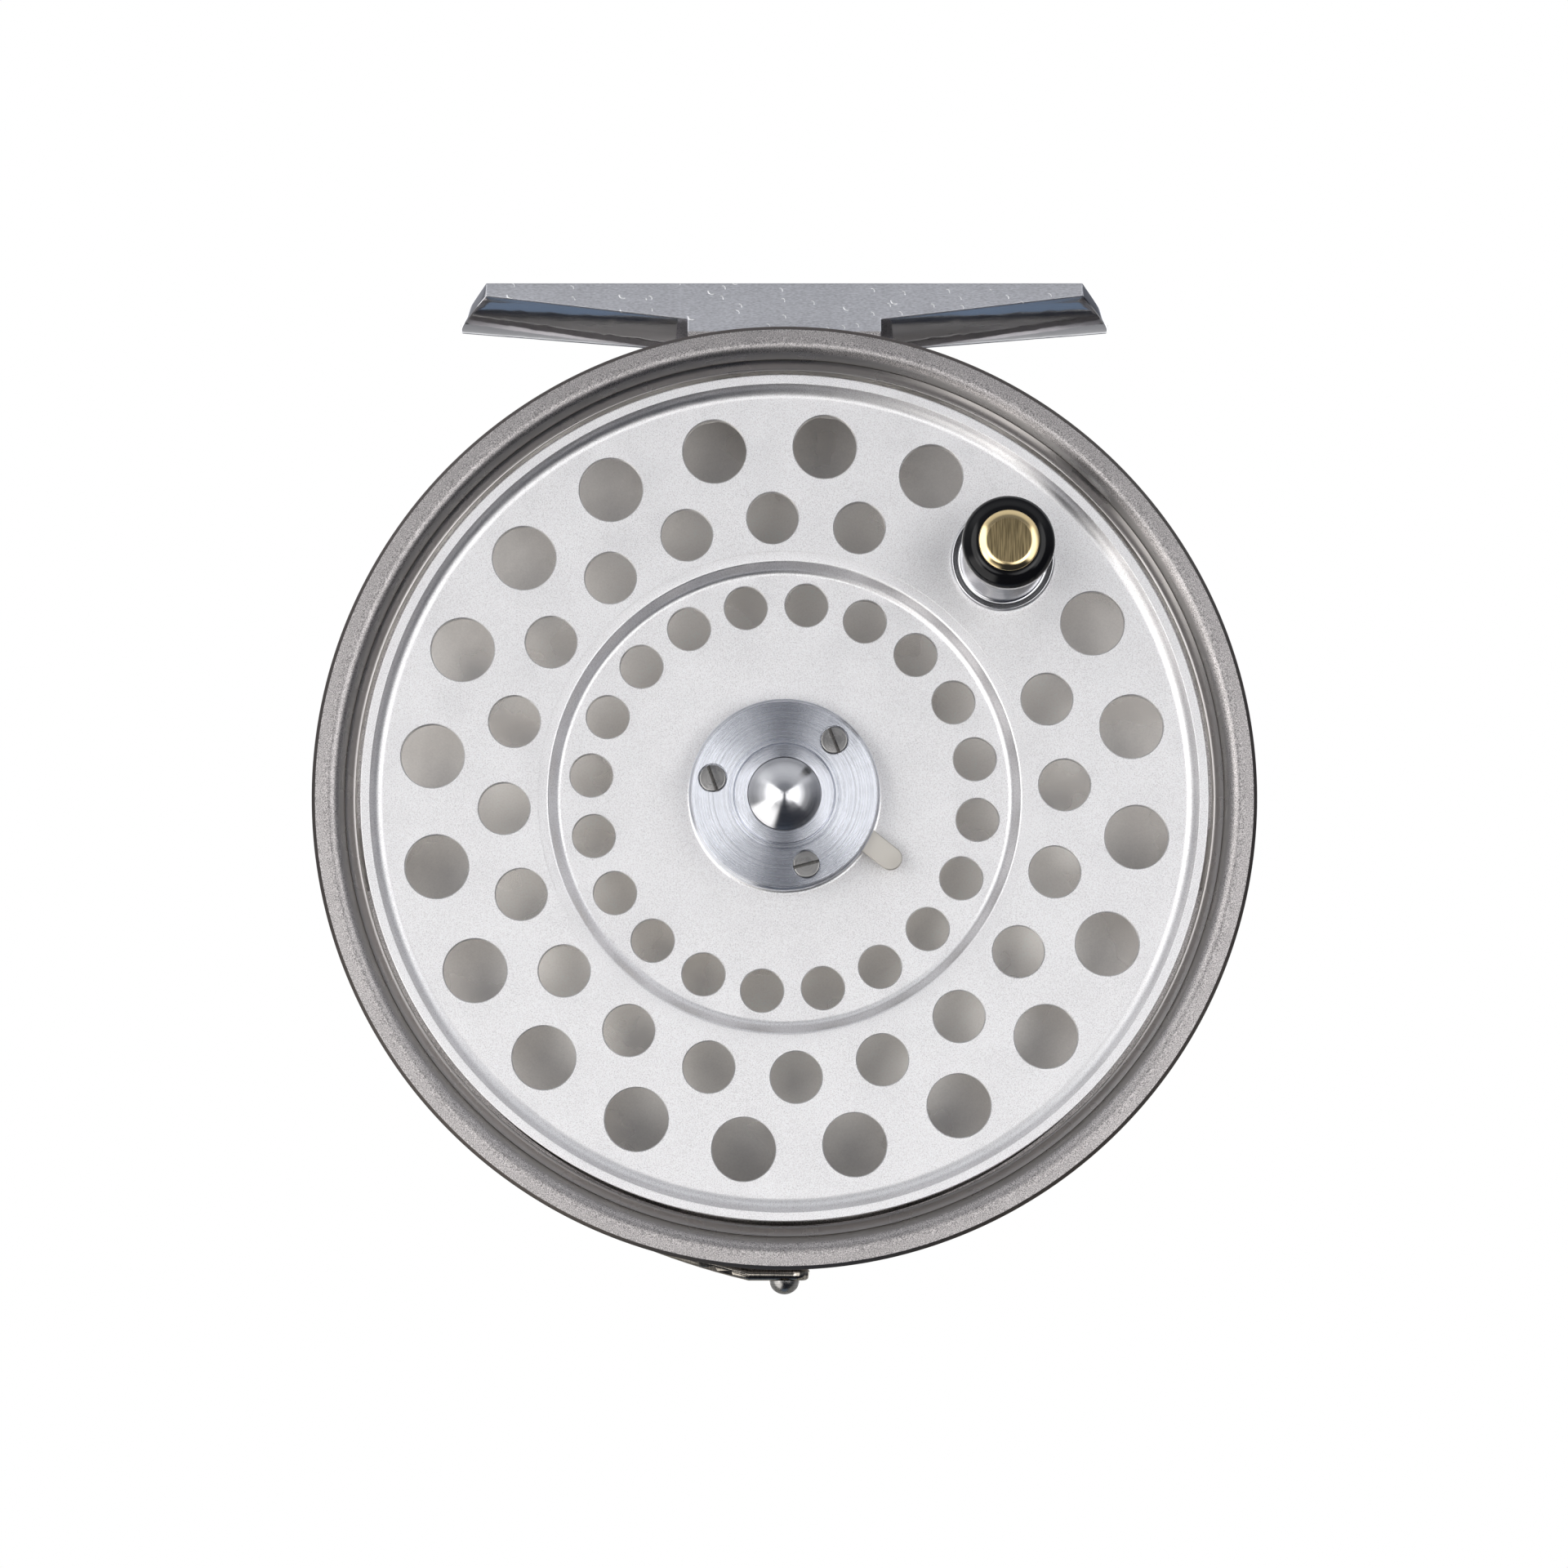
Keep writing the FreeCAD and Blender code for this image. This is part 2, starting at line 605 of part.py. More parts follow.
def make_arbor():
    drum_inner = ARBOR_R - 1.3
    tube_outer = HUB_R
    arbor = turned([
        (BUSH_R + FIT, HUB_REAR_Y),
        (tube_outer, HUB_REAR_Y),
        (tube_outer, -1.5, 0.6),
        (drum_inner, -1.5, 0.6),
        (drum_inner, HUB_REAR_Y),
        (ARBOR_R, HUB_REAR_Y),
        (ARBOR_R, FLANGE_Y[0]),
        (drum_inner, FLANGE_Y[0]),
        (drum_inner, 0.5, 0.6),
        (tube_outer, 0.5, 0.6),
        (tube_outer, FLANGE_Y[0]),
        (BUSH_R + FIT, FLANGE_Y[0]),
    ])
    cutters = [rod(SMALL_SCREW_R + FIT, -FAR, COVER_SCREW_TIP_Y + 0.1, x, z)
               for x, z in cover_screw_places()]
    cutters += [rod(SMALL_SCREW_R + FIT, RATCHET_SCREW_TIP_Y - 0.1, FAR, x, z)
                for x, z in ratchet_screw_places()]
    return cut_all(arbor, cutters)


def make_rear_flange():
    flange = turned([
        (BUSH_R + FIT, FLANGE_Y[0]),
        (SPOOL_R - 1.2, FLANGE_Y[0], 0.3),
        (SPOOL_R - 0.8, FLANGE_Y[0] - 0.5, 0.2),
        (SPOOL_R, FLANGE_Y[0] - 0.5, 0.25),
        (SPOOL_R, FLANGE_Y[1], 0.25),
        (BUSH_R + FIT, FLANGE_Y[1]),
    ])
    return cut_all(flange, [bore(SMALL_SCREW_R + FIT, x, z) for x, z in ratchet_screw_places()])


def make_ratchet():
    corners = []
    for tooth in range(TEETH):
        corners.append(polar(RATCHET_R, tooth * 360 / TEETH))
        corners.append(polar(RATCHET_ROOT_R, (tooth + 0.5) * 360 / TEETH))
    wheel = plate(corners, *RATCHET_Y)
    cutters = [bore(BUSH_R + FIT)]
    for x, z in ratchet_screw_places():
        cutters.append(bore(SMALL_SCREW_R + FIT, x, z))
        cutters.append(ratchet_screw_head(x, z, FIT))
    return cut_all(wheel, cutters)


def ratchet_screw_head(x, z, grow=0.0):
    low_y = RATCHET_Y[1] - 0.45
    return cone(SMALL_SCREW_R + grow, SMALL_SCREW_R + 0.45 + grow, low_y, RATCHET_Y[1], x, z)


def make_ratchet_screws():
    screws = []
    for x, z in ratchet_screw_places():
        shank = rod(SMALL_SCREW_R, RATCHET_SCREW_TIP_Y, RATCHET_Y[1] - 0.4, x, z)
        slot = slot_cutter(x, z, 20.0, 0.35, 4.0, RATCHET_Y[1] - 0.3, FAR)
        screws.append(shank.fuse(ratchet_screw_head(x, z)).cut(slot))
    return Part.makeCompound(screws)


def make_bush(low_y, high_y):
    return rod(BUSH_R, low_y, high_y).cut(bore(SPINDLE_R + RUN))


# ---- hub cover and latch ------------------------------------------------------------------
def make_cover():
    cover = turned([
        (SPINDLE_HEAD_R + RUN, COVER_CAVITY_Y),
        (8.0, COVER_CAVITY_Y),
        (8.0, RIM_Y),
        (COVER_R, RIM_Y),
        (COVER_R, COVER_Y + 0.35, 0.12),
        (COVER_FACE_R + 0.08, COVER_Y + 0.14, 0.06),
        (COVER_FACE_R, COVER_Y, 0.04),
        (COVER_BOSS_R + 0.12, COVER_Y, 0.05),
        (COVER_BOSS_R, COVER_BOSS_Y, 0.08),
        (SPINDLE_HEAD_R + RUN, COVER_BOSS_Y, 0.04),
    ])
    cutters = []
    for x, z in cover_screw_places():
        cutters.append(bore(SMALL_SCREW_R + FIT, x, z))
        cutters.append(rod(COVER_SCREW_HEAD_R + 0.12, -FAR, COVER_Y + COVER_SCREW_HEAD, x, z))
    gap = plate([(6.5, -4.6), (10.0, -5.6), (10.0, 3.4), (6.5, 3.2)], COVER_CAVITY_Y, RIM_Y)
    cutters.append(turn(gap, LATCH_ANGLE))
    return cut_all(cover, cutters)


def make_cover_screws():
    screws = []
    for (x, z), (_, slot_angle) in zip(cover_screw_places(), COVER_SCREWS):
        screw = turned([
            (0, COVER_Y - 0.02),
            (COVER_SCREW_HEAD_R, COVER_Y - 0.02, 0.12),
            (COVER_SCREW_HEAD_R, COVER_Y + COVER_SCREW_HEAD - FIT),
            (SMALL_SCREW_R, COVER_Y + COVER_SCREW_HEAD - FIT),
            (SMALL_SCREW_R, COVER_SCREW_TIP_Y),
            (0, COVER_SCREW_TIP_Y),
        ], x, z)
        screws.append(screw.cut(slot_cutter(x, z, slot_angle, 0.3, 4.0, -FAR, COVER_Y + 0.5)))
    return Part.makeCompound(screws)


def make_lever():
    """Lever along +X before it is turned to its direction; its eye is on the pivot."""
    low, high = LATCH_TAB
    middle = (low + high) / 2
    end_r = (high - low) / 2
    eye = rod(LATCH_EYE_R, *LATCH_Y, LATCH_PIVOT, 0)
    ring = rod(LATCH_RING_R, *LATCH_Y)
    arm = plate([(LATCH_PIVOT, -1.5), (-2.0, -3.0), (-2.0, 3.0), (LATCH_PIVOT, 1.5)], *LATCH_Y)
    reach = math.sqrt(LATCH_REACH ** 2 - middle ** 2)
    tab = plate([(2.0, low), (reach - end_r, low), (reach - end_r, high), (2.0, high)], *LATCH_Y)
    tip = rod(end_r, *LATCH_Y, reach - end_r, middle)
    lever = eye.fuse([ring, arm, tab, tip]).removeSplitter()
    opening = bore(LATCH_OPENING_R, 0, LATCH_OPENING_R - GROOVE_R - 0.1)
    lever = cut_all(lever, [opening, bore(PIVOT_R + RUN, LATCH_PIVOT)])
    return turn(rounded(lever, LATCH_EDGE_R, flat_across_y), LATCH_ANGLE)


def make_latch_pivot():
    x, z = polar(-LATCH_PIVOT, LATCH_ANGLE + 180)
    return rod(PIVOT_R, COVER_CAVITY_Y, PIVOT_REAR_Y, x, z)


def make_latch_spring():
    """Bow leaf between the lever's ring and the wall of the cover."""
    outer = Part.Arc(Vector(-4.6, 0, -6.2), Vector(0, 0, -5.0), Vector(4.2, 0, -6.2)).toShape()
    inner = Part.Arc(Vector(-4.6, 0, -6.45), Vector(0, 0, -5.25), Vector(4.2, 0, -6.45)).toShape()
    ends = [Part.makeLine(Vector(x, 0, -6.2), Vector(x, 0, -6.45)) for x in (-4.6, 4.2)]
    wire = Part.Wire(Part.__sortEdges__([outer, ends[1], inner, ends[0]]))
    wire.translate(Vector(0, -13.5, 0))
    return turn(Part.Face(wire).extrude(Vector(0, 0.8, 0)), LATCH_ANGLE)


# ---- handle -------------------------------------------------------------------------------
def make_ferrule():
    ferrule = turned([
        (0, -27.2),
        (POST_R, -27.2),
        (POST_R, -13.6),
        (3.0, -13.6, 0.1),
        (FERRULE_R - 0.8, -12.15, 0.35),
        (FERRULE_R - 0.2, -12.5, 0.12),
        (FERRULE_R, -12.25, 0.08),
        (FERRULE_R, OUTER_FIELD_Y),
        (POST_R, OUTER_FIELD_Y),
        (POST_R, RIVETED_Y),
        (RIVETED_R, FACE_REAR_Y),
        (0, FACE_REAR_Y),
    ], *polar(HANDLE_R, HANDLE_ANGLE))
    x, z = polar(HANDLE_R, HANDLE_ANGLE)
    return ferrule.cut(rod(RIVET_SHANK_R + FIT, -FAR, RIVET_TIP_Y + 0.1, x, z))


def make_knob():
    return turned([
        (POST_R + RUN, KNOB_Y[1]),
        (3.0, KNOB_Y[1], 0.3),
        (3.3, -16.0, 8.0),
        (3.55, -21.0, 12.0),
        (KNOB_R, -25.2, 3.0),
        (KNOB_R, -26.9, 1.0),
        (KNOB_R - 1.0, KNOB_Y[0], 1.4),
        (POST_R + RUN, KNOB_Y[0]),
    ], *polar(HANDLE_R, HANDLE_ANGLE))


def make_knob_rivet():
    return turned([
        (0, RIVET_TIP_Y),
        (0, RIVET_Y),
        (RIVET_R - 0.6, RIVET_Y, 1.2),
        (RIVET_R, RIVET_Y + 0.24, 0.15),
        (RIVET_R, KNOB_Y[0] - 0.1),
        (RIVET_SHANK_R, KNOB_Y[0] - 0.1),
        (RIVET_SHANK_R, RIVET_TIP_Y),
    ], *polar(HANDLE_R, HANDLE_ANGLE))


# ---- check --------------------------------------------------------------------------------
def post_places():
    """Radius, place across and rivet radius of the posts of one pawl, before it is turned."""
    leaf_back = PAWL_PIVOT_R + PAWL_BACK + 0.05 + LEAF_THICK
    places = [(PAWL_PIVOT_R, 0.0, PAWL_PIN_R)]
    places += [(leaf_back + LEAF_POST_R + 0.05, side * LEAF_POST_S, 0.8) for side in (-1, 1)]
    return places


def make_posts():
    pawl_posts = []
    leaf_posts = []
    for angle in PAWL_ANGLES.values():
        for radius, across, rivet_r in post_places():
            foot = rod(rivet_r, BOSS_INNER_Y, BACK_Y, radius, across)
            if across:
                post = rod(LEAF_POST_R, PAWL_Y[0], BOSS_INNER_Y, radius, across)
                leaf_posts.append(turn(post.fuse(foot), angle))
            else:
                shoulder = rod(1.8, PAWL_Y[1] + 0.05, BOSS_INNER_Y, radius, across)
                pin = rod(PAWL_PIN_R, PAWL_Y[0] - 0.05, BOSS_INNER_Y, radius, across)
                pawl_posts.append(turn(shoulder.fuse([pin, foot]), angle))
    return Part.makeCompound(pawl_posts), Part.makeCompound(leaf_posts)


def make_pawl(angle):
    """Pawl that points at the ratchet from +X before it is turned to its place."""
    tip = PAWL_PIVOT_R - PAWL_REACH
    back = PAWL_PIVOT_R + PAWL_BACK
    pawl = plate([
        (tip - 0.18, 0.0, 0.25),
        (PAWL_PIVOT_R - 1.2, 2.4, 0.6),
        (back, 3.2, 0.5),
        (back, -3.2, 0.5),
        (PAWL_PIVOT_R - 1.2, -2.4, 0.6),
    ], *PAWL_Y)
    return turn(pawl.cut(bore(PAWL_PIN_R + RUN, PAWL_PIVOT_R)), angle)


def make_leaf(angle):
    low = PAWL_PIVOT_R + PAWL_BACK + 0.05
    leaf = box((low, PAWL_Y[0], -LEAF_HALF), (low + LEAF_THICK, PAWL_Y[1], LEAF_HALF))
    return turn(leaf, angle)


def make_cam():
    """Eccentric on its shaft; its low side faces the leaf spring."""
    cam = rod(CAM_R, PAWL_Y[0], PAWL_Y[1], ADJUSTER_R + CAM_THROW, 0)
    shaft = rod(ADJUSTER_SHAFT_R, PAWL_Y[0], BACK_Y + 0.9, ADJUSTER_R, 0)
    return turn(cam.fuse(shaft), PAWL_ANGLES["lower"])


def make_adjuster_knob():
    knob = turned([
        (0, BACK_Y + 0.9),
        (ADJUSTER_SHAFT_R, BACK_Y + 0.9),
        (ADJUSTER_SHAFT_R, BACK_Y + 0.1),
        (ADJUSTER_KNOB_R, BACK_Y + 0.1, 0.15),
        (ADJUSTER_KNOB_R, BACK_Y + 2.6, 0.35),
        (0, BACK_Y + 2.9),
    ])
    cutters = [slot_cutter(0, 0, 90.0, 0.9, 12.0, BACK_Y + 2.1, BACK_Y + 4.0)]
    for index in range(24):
        x, z = polar(ADJUSTER_KNOB_R + 0.15, index * 15)
        cutters.append(rod(0.35, BACK_Y, BACK_Y + 4.0, x, z))
    knob = cut_all(knob, cutters)
    knob.translate(Vector(ADJUSTER_R, 0, 0))
    return turn(knob, PAWL_ANGLES["lower"])


# ---- assembly -----------------------------------------------------------------------------
def make_parts():
    pawl_posts, spring_posts = make_posts()
    parts = {
        "frame_ring": make_ring(),
        "back_plate": make_back(),
        "pillar_left": make_pillar("pillar_left"),
        "pillar_right": make_pillar("pillar_right"),
        "pillar_bottom": make_bottom_pillar(),
        "pillar_screws": make_long_screws(),
        "foot_bridge": make_bridge(),
        "foot": make_foot(),
        "foot_screws": make_foot_screws(),
        "line_guard": make_guard(),
        "guard_screws": make_guard_screws(),
        "spindle": make_spindle(),
        "spindle_nut": make_spindle_nut(),
        "pawl_posts": pawl_posts,
        "spring_posts": spring_posts,
        "spool_face": make_face(),
        "spool_arbor": make_arbor(),
        "spool_rear_flange": make_rear_flange(),
        "ratchet_wheel": make_ratchet(),
        "ratchet_screws": make_ratchet_screws(),
        "spool_bush_front": make_bush(RIM_Y, -6.5),
        "spool_bush_rear": make_bush(3.0, RATCHET_Y[1]),
        "latch_cover": make_cover(),
        "cover_screws": make_cover_screws(),
        "latch_lever": make_lever(),
        "latch_pivot": make_latch_pivot(),
        "latch_spring": make_latch_spring(),
        "knob_ferrule": make_ferrule(),
        "knob": make_knob(),
        "knob_rivet": make_knob_rivet(),
        "adjuster_cam": make_cam(),
        "adjuster_knob": make_adjuster_knob(),
    }
    for name, angle in PAWL_ANGLES.items():
        parts["check_pawl_" + name] = make_pawl(angle)
        parts["check_spring_" + name] = make_leaf(angle)
    return parts


def main():
    os.makedirs("parts", exist_ok=True)
    for name, shape in make_parts().items():
        shape.translate(Vector(0, 0, -SEAT_Z))
        assert shape.isValid(), name
        shape.exportStep(f"parts/{name}.step")


main()
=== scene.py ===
"""Looks of a click-and-pawl fly reel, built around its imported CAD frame. Metres."""
import json
import math

import bmesh
import bpy
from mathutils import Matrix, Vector


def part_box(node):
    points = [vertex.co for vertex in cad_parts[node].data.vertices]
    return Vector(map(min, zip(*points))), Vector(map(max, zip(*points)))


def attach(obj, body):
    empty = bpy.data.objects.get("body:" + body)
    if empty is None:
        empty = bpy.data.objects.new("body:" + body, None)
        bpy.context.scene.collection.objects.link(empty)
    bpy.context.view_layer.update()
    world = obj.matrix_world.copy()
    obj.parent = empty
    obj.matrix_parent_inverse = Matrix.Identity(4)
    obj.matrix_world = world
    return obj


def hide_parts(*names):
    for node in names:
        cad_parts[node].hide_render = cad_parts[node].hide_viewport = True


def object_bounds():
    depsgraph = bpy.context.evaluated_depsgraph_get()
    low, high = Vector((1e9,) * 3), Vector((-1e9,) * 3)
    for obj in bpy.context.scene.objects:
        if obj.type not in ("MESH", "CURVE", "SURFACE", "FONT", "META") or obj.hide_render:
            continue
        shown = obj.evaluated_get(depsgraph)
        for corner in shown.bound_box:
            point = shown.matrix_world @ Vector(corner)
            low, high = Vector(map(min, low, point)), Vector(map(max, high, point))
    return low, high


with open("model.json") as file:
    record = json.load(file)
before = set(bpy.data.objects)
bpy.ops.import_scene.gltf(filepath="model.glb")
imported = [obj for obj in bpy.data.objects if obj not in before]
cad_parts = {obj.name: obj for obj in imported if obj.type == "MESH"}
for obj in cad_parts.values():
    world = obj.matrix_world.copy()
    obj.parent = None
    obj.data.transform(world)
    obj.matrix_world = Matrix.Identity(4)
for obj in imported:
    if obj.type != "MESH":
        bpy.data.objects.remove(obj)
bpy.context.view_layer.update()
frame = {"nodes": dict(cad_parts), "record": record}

MM = 0.001

RING_LOW, RING_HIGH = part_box("frame_ring")
AXIS = (RING_LOW + RING_HIGH) / 2           # middle of the ring, on the spindle axis

CAMERA_ELEVATION = math.radians(-4.1)
CAMERA_DISTANCE = 0.555
CAMERA_LENS = 135.5
CAMERA_AIM = Vector((-0.04, 0.0, 1.05)) * MM    # the view is centred a little over the spindle
FLOOR_DROP = 0.25                           # floor under the lowest screw head
FLOOR_R = 3.0
SHARP_ANGLE = math.radians(24)
WELD_GAP = 0.0005 * MM
FILLET_STEP = math.radians(9)
TURNED_STEPS = 288
HOLE_STEPS = 72
COVER_SCREW_CIRCLE_R = 6.9                  # mm
COVER_SCREW_ANGLES = (47.4, 167.4, 287.4)


def polar(radius, degrees):
    """Step across the reel's axis, radius in mm; 0 degrees is right and 90 is up."""
    angle = math.radians(degrees)
    return Vector((radius * math.cos(angle), 0.0, radius * math.sin(angle))) * MM


HANDLE = polar(30.5, 47.4)                  # the handle's post, from the spindle


# ---- node helpers -------------------------------------------------------------------------
class Graph:
    """A node tree that is filled in one call per node."""

    def __init__(self, tree):
        self.tree = tree

    def add(self, kind, inputs=None, **settings):
        node = self.tree.nodes.new(kind)
        for name, value in settings.items():
            setattr(node, name, value)
        for name, value in (inputs or {}).items():
            socket = node.inputs[name]
            if isinstance(value, bpy.types.NodeSocket):
                self.tree.links.new(value, socket)
            else:
                socket.default_value = value
        return node

    def math(self, operation, first, second=0.0):
        return self.add("ShaderNodeMath", {0: first, 1: second}, operation=operation).outputs[0]

    def vector(self, operation, first, second=(0.0, 0.0, 0.0)):
        return self.add("ShaderNodeVectorMath", {0: first, 1: second}, operation=operation)

    def grey(self, value):
        return self.add("ShaderNodeCombineXYZ", {0: value, 1: value, 2: value}).outputs[0]

    def ramp(self, value, low, high, to_low=0.0, to_high=1.0, smooth=True):
        interpolation = "SMOOTHSTEP" if smooth else "LINEAR"
        return self.add("ShaderNodeMapRange", {
            "Value": value, "From Min": low, "From Max": high, "To Min": to_low, "To Max": to_high,
        }, interpolation_type=interpolation).outputs[0]


def colour_blend(graph, share, first, second, how="MIX"):
    """Colour mix; the colour sockets of a Mix node are its seventh and eighth."""
    inputs = {0: share}
    for index, value in ((6, first), (7, second)):
        inputs[index] = value if isinstance(value, bpy.types.NodeSocket) else (*value, 1.0)
    return graph.add("ShaderNodeMix", inputs, data_type="RGBA", blend_type=how).outputs[2]


# ---- materials ----------------------------------------------------------------------------
class Finish(Graph):
    """A Principled material whose detail is added layer by layer."""

    def __init__(self, name, colour, roughness, metallic=1.0, **sockets):
        self.material = bpy.data.materials.new(name)
        self.material.use_nodes = True
        super().__init__(self.material.node_tree)
        self.shader = self.tree.nodes["Principled BSDF"]
        self.colour = colour
        self.roughness = roughness
        self.heights = []
        self.shader.inputs["Metallic"].default_value = metallic
        for socket, value in sockets.items():
            self.shader.inputs[socket.replace("_", " ")].default_value = value
        self.place = self.add("ShaderNodeTexCoord").outputs["Object"]

    def noise(self, size, detail=2.0, stretch=(1.0, 1.0, 1.0)):
        """Noise with features of a size in metres."""
        place = self.vector("MULTIPLY", self.place, stretch).outputs[0]
        inputs = {"Vector": place, "Scale": 1.0 / size, "Detail": detail}
        return self.add("ShaderNodeTexNoise", inputs).outputs[0]

    def tint(self, share, colour):
        self.colour = colour_blend(self, share, self.colour, colour)

    def vary_colour(self, pattern, depth):
        """Brightness swings by depth either way as the pattern runs from 0 to 1."""
        gain = self.ramp(pattern, 0.25, 0.75, 1.0 - depth, 1.0 + depth, smooth=False)
        self.colour = self.vector("MULTIPLY", self.colour, gain).outputs[0]

    def vary_roughness(self, pattern, low, high):
        self.roughness = self.ramp(pattern, 0.3, 0.7, low, high, smooth=False)

    def only_where(self, share, pattern):
        """A pattern about 0.5 that is flat where share is 0."""
        swing = self.math("MULTIPLY", self.math("SUBTRACT", pattern, 0.5), share)
        return self.math("ADD", swing, 0.5)

    def depth(self):
        """Place along the spindle, in metres; the front is negative."""
        return self.add("ShaderNodeSeparateXYZ", {0: self.place}).outputs[1]

    def raise_by(self, pattern, height, strength=1.0):
        """A pattern that stands up by a height in metres."""
        self.heights.append((pattern, height, strength))

    def turned_radius(self, centre=AXIS):
        """Distance from an axis along Y, in metres."""
        arm = self.vector("SUBTRACT", self.place, tuple(centre)).outputs[0]
        flat = self.vector("MULTIPLY", arm, (1.0, 0.0, 1.0)).outputs[0]
        return self.vector("LENGTH", flat).outputs["Value"]

    def lines(self, distance, size, detail=3.0):
        """Noise that changes with a distance only."""
        inputs = {"W": distance, "Scale": 1.0 / size, "Detail": detail}
        return self.add("ShaderNodeTexNoise", inputs, noise_dimensions="1D").outputs[0]

    def turned_lines(self, size):
        """Fine rings round the spindle."""
        return self.lines(self.turned_radius(), size)

    def turned_tangent(self):
        tangent = self.add("ShaderNodeTangent", direction_type="RADIAL", axis="Y").outputs[0]
        self.tree.links.new(tangent, self.shader.inputs["Tangent"])

    def finish(self):
        for socket, value in (("Base Color", self.colour), ("Roughness", self.roughness)):
            if isinstance(value, bpy.types.NodeSocket):
                self.tree.links.new(value, self.shader.inputs[socket])
            else:
                self.shader.inputs[socket].default_value = (*value, 1.0) if socket == "Base Color" else value
        normal = None
        for pattern, height, strength in self.heights:
            inputs = {"Height": pattern, "Distance": height, "Strength": strength}
            if normal:
                inputs["Normal"] = normal
            normal = self.add("ShaderNodeBump", inputs).outputs[0]
        if normal:
            self.tree.links.new(normal, self.shader.inputs["Normal"])
        return self.material


BLAST_R = (41.8 * MM, 42.1 * MM)            # the ring's blasted face fades in over this stretch
COVE_R = (41.3 * MM, 41.5 * MM)             # and its smooth cove gets darker over this one, its own grey with painted shade
CHAMFER_SHADE_R = (44.14 * MM, 44.18 * MM)           # painted shade on its outer chamfer starts here
CHAMFER_SHADE_Y = (-13.0 * MM, -12.6 * MM)           # and ends here
CHAMFER_SHADE_COLOUR = (0.17, 0.15, 0.14)
COVE_TONE_AND_SHADE = (0.355, 0.34, 0.325)


def blasted_finish(name, colour, roughness, grain_size, contrast, relief, smooth_cove=False):
    """Anodising over fine bead blasting; smooth_cove leaves the ring's cove as it was turned, and paints
    shade into the cove and onto the outer chamfer.
    """
    metal = Finish(name, colour, roughness)
    grain = metal.noise(grain_size)
    if smooth_cove:
        radius = metal.turned_radius()
        depth = metal.depth()
        behind = metal.ramp(depth, RING_HIGH.y, RING_HIGH.y + 0.5 * MM)
        blasted = metal.math("MAXIMUM", behind, metal.ramp(radius, *BLAST_R))
        grain = metal.only_where(blasted, grain)
    metal.vary_colour(grain, contrast)
    metal.vary_colour(metal.noise(60 * grain_size), 0.03)
    metal.vary_roughness(metal.noise(35 * grain_size), roughness * 0.92, roughness * 1.08)
    if smooth_cove:
        metal.roughness = metal.math("SUBTRACT", metal.roughness, metal.ramp(blasted, 0.0, 1.0, 0.12, 0.0))
        smooth = metal.math("SUBTRACT", 1.0, blasted)
        # The smooth cove is tinted to a darker grey. This is partly its own neutral turned tone and partly
        # painted shade in the hollow, half inside the crease and full outside it.
        cove_tone_and_shade = metal.math("MULTIPLY", metal.ramp(radius, *COVE_R, 0.5, 1.0), smooth)
        metal.tint(cove_tone_and_shade, COVE_TONE_AND_SHADE)
        # Painted shade: the outer chamfer is tinted dark brown-grey.
        chamfer_shade = metal.math("MULTIPLY", metal.ramp(radius, *CHAMFER_SHADE_R), metal.ramp(depth, *CHAMFER_SHADE_Y, 1.0, 0.0))
        metal.tint(chamfer_shade, CHAMFER_SHADE_COLOUR)
    metal.raise_by(grain, relief, 0.6)
    return metal.finish()


def turned_finish(name, colour, roughness, anisotropic, line_size, depth, contrast=0.05):
    """Metal with the fine rings that a lathe tool leaves, and faint cloudy stains."""
    metal = Finish(name, colour, roughness, Anisotropic=anisotropic, Anisotropic_Rotation=0.25)
    lines = metal.turned_lines(line_size)
    metal.vary_colour(lines, contrast)
    metal.vary_colour(metal.noise(0.9 * MM, detail=4.0), 0.5 * contrast)
    metal.vary_roughness(metal.turned_lines(4 * line_size), roughness * 0.85, roughness * 1.15)
    metal.raise_by(lines, depth)
    metal.turned_tangent()
    return metal.finish()


RIM_SHADE_R = (28.5 * MM, 32 * MM)


def flange_finish():
    """Satin alloy inside the spool, with soft rings, and painted shade that darkens it towards the rim."""
    metal = Finish("spool_turned", (0.98, 0.945, 0.895), 0.28, Anisotropic=0.5, Anisotropic_Rotation=0.25)
    metal.turned_tangent()
    metal.vary_colour(metal.turned_lines(1.4 * MM), 0.015)
    # Painted shade: a grey tint that grows towards the rim.
    rim_shade = metal.ramp(metal.turned_radius(), *RIM_SHADE_R, 0.0, 0.18)
    metal.tint(rim_shade, (0.45, 0.44, 0.43))
    metal.vary_colour(metal.noise(3 * MM), 0.03)
    metal.vary_colour(metal.noise(0.15 * MM), 0.05)
    metal.vary_roughness(metal.noise(6 * MM), 0.25, 0.33)
    return metal.finish()


def polished_finish(name, colour, roughness, hairlines=0.0):
    """Polished metal with faint haze and, if asked, hairlines along the spindle's direction."""
    metal = Finish(name, colour, roughness)
    metal.vary_roughness(metal.noise(6 * MM), roughness * 0.7, roughness * 1.5)
    metal.raise_by(metal.noise(0.5 * MM), 0.004 * MM, 0.2)
    if hairlines:
        streaks = metal.noise(0.1 * MM, stretch=(1.0, 0.1, 0.1))
        metal.vary_colour(streaks, hairlines)
        metal.raise_by(streaks, 0.004 * MM, 0.5)
    return metal.finish()


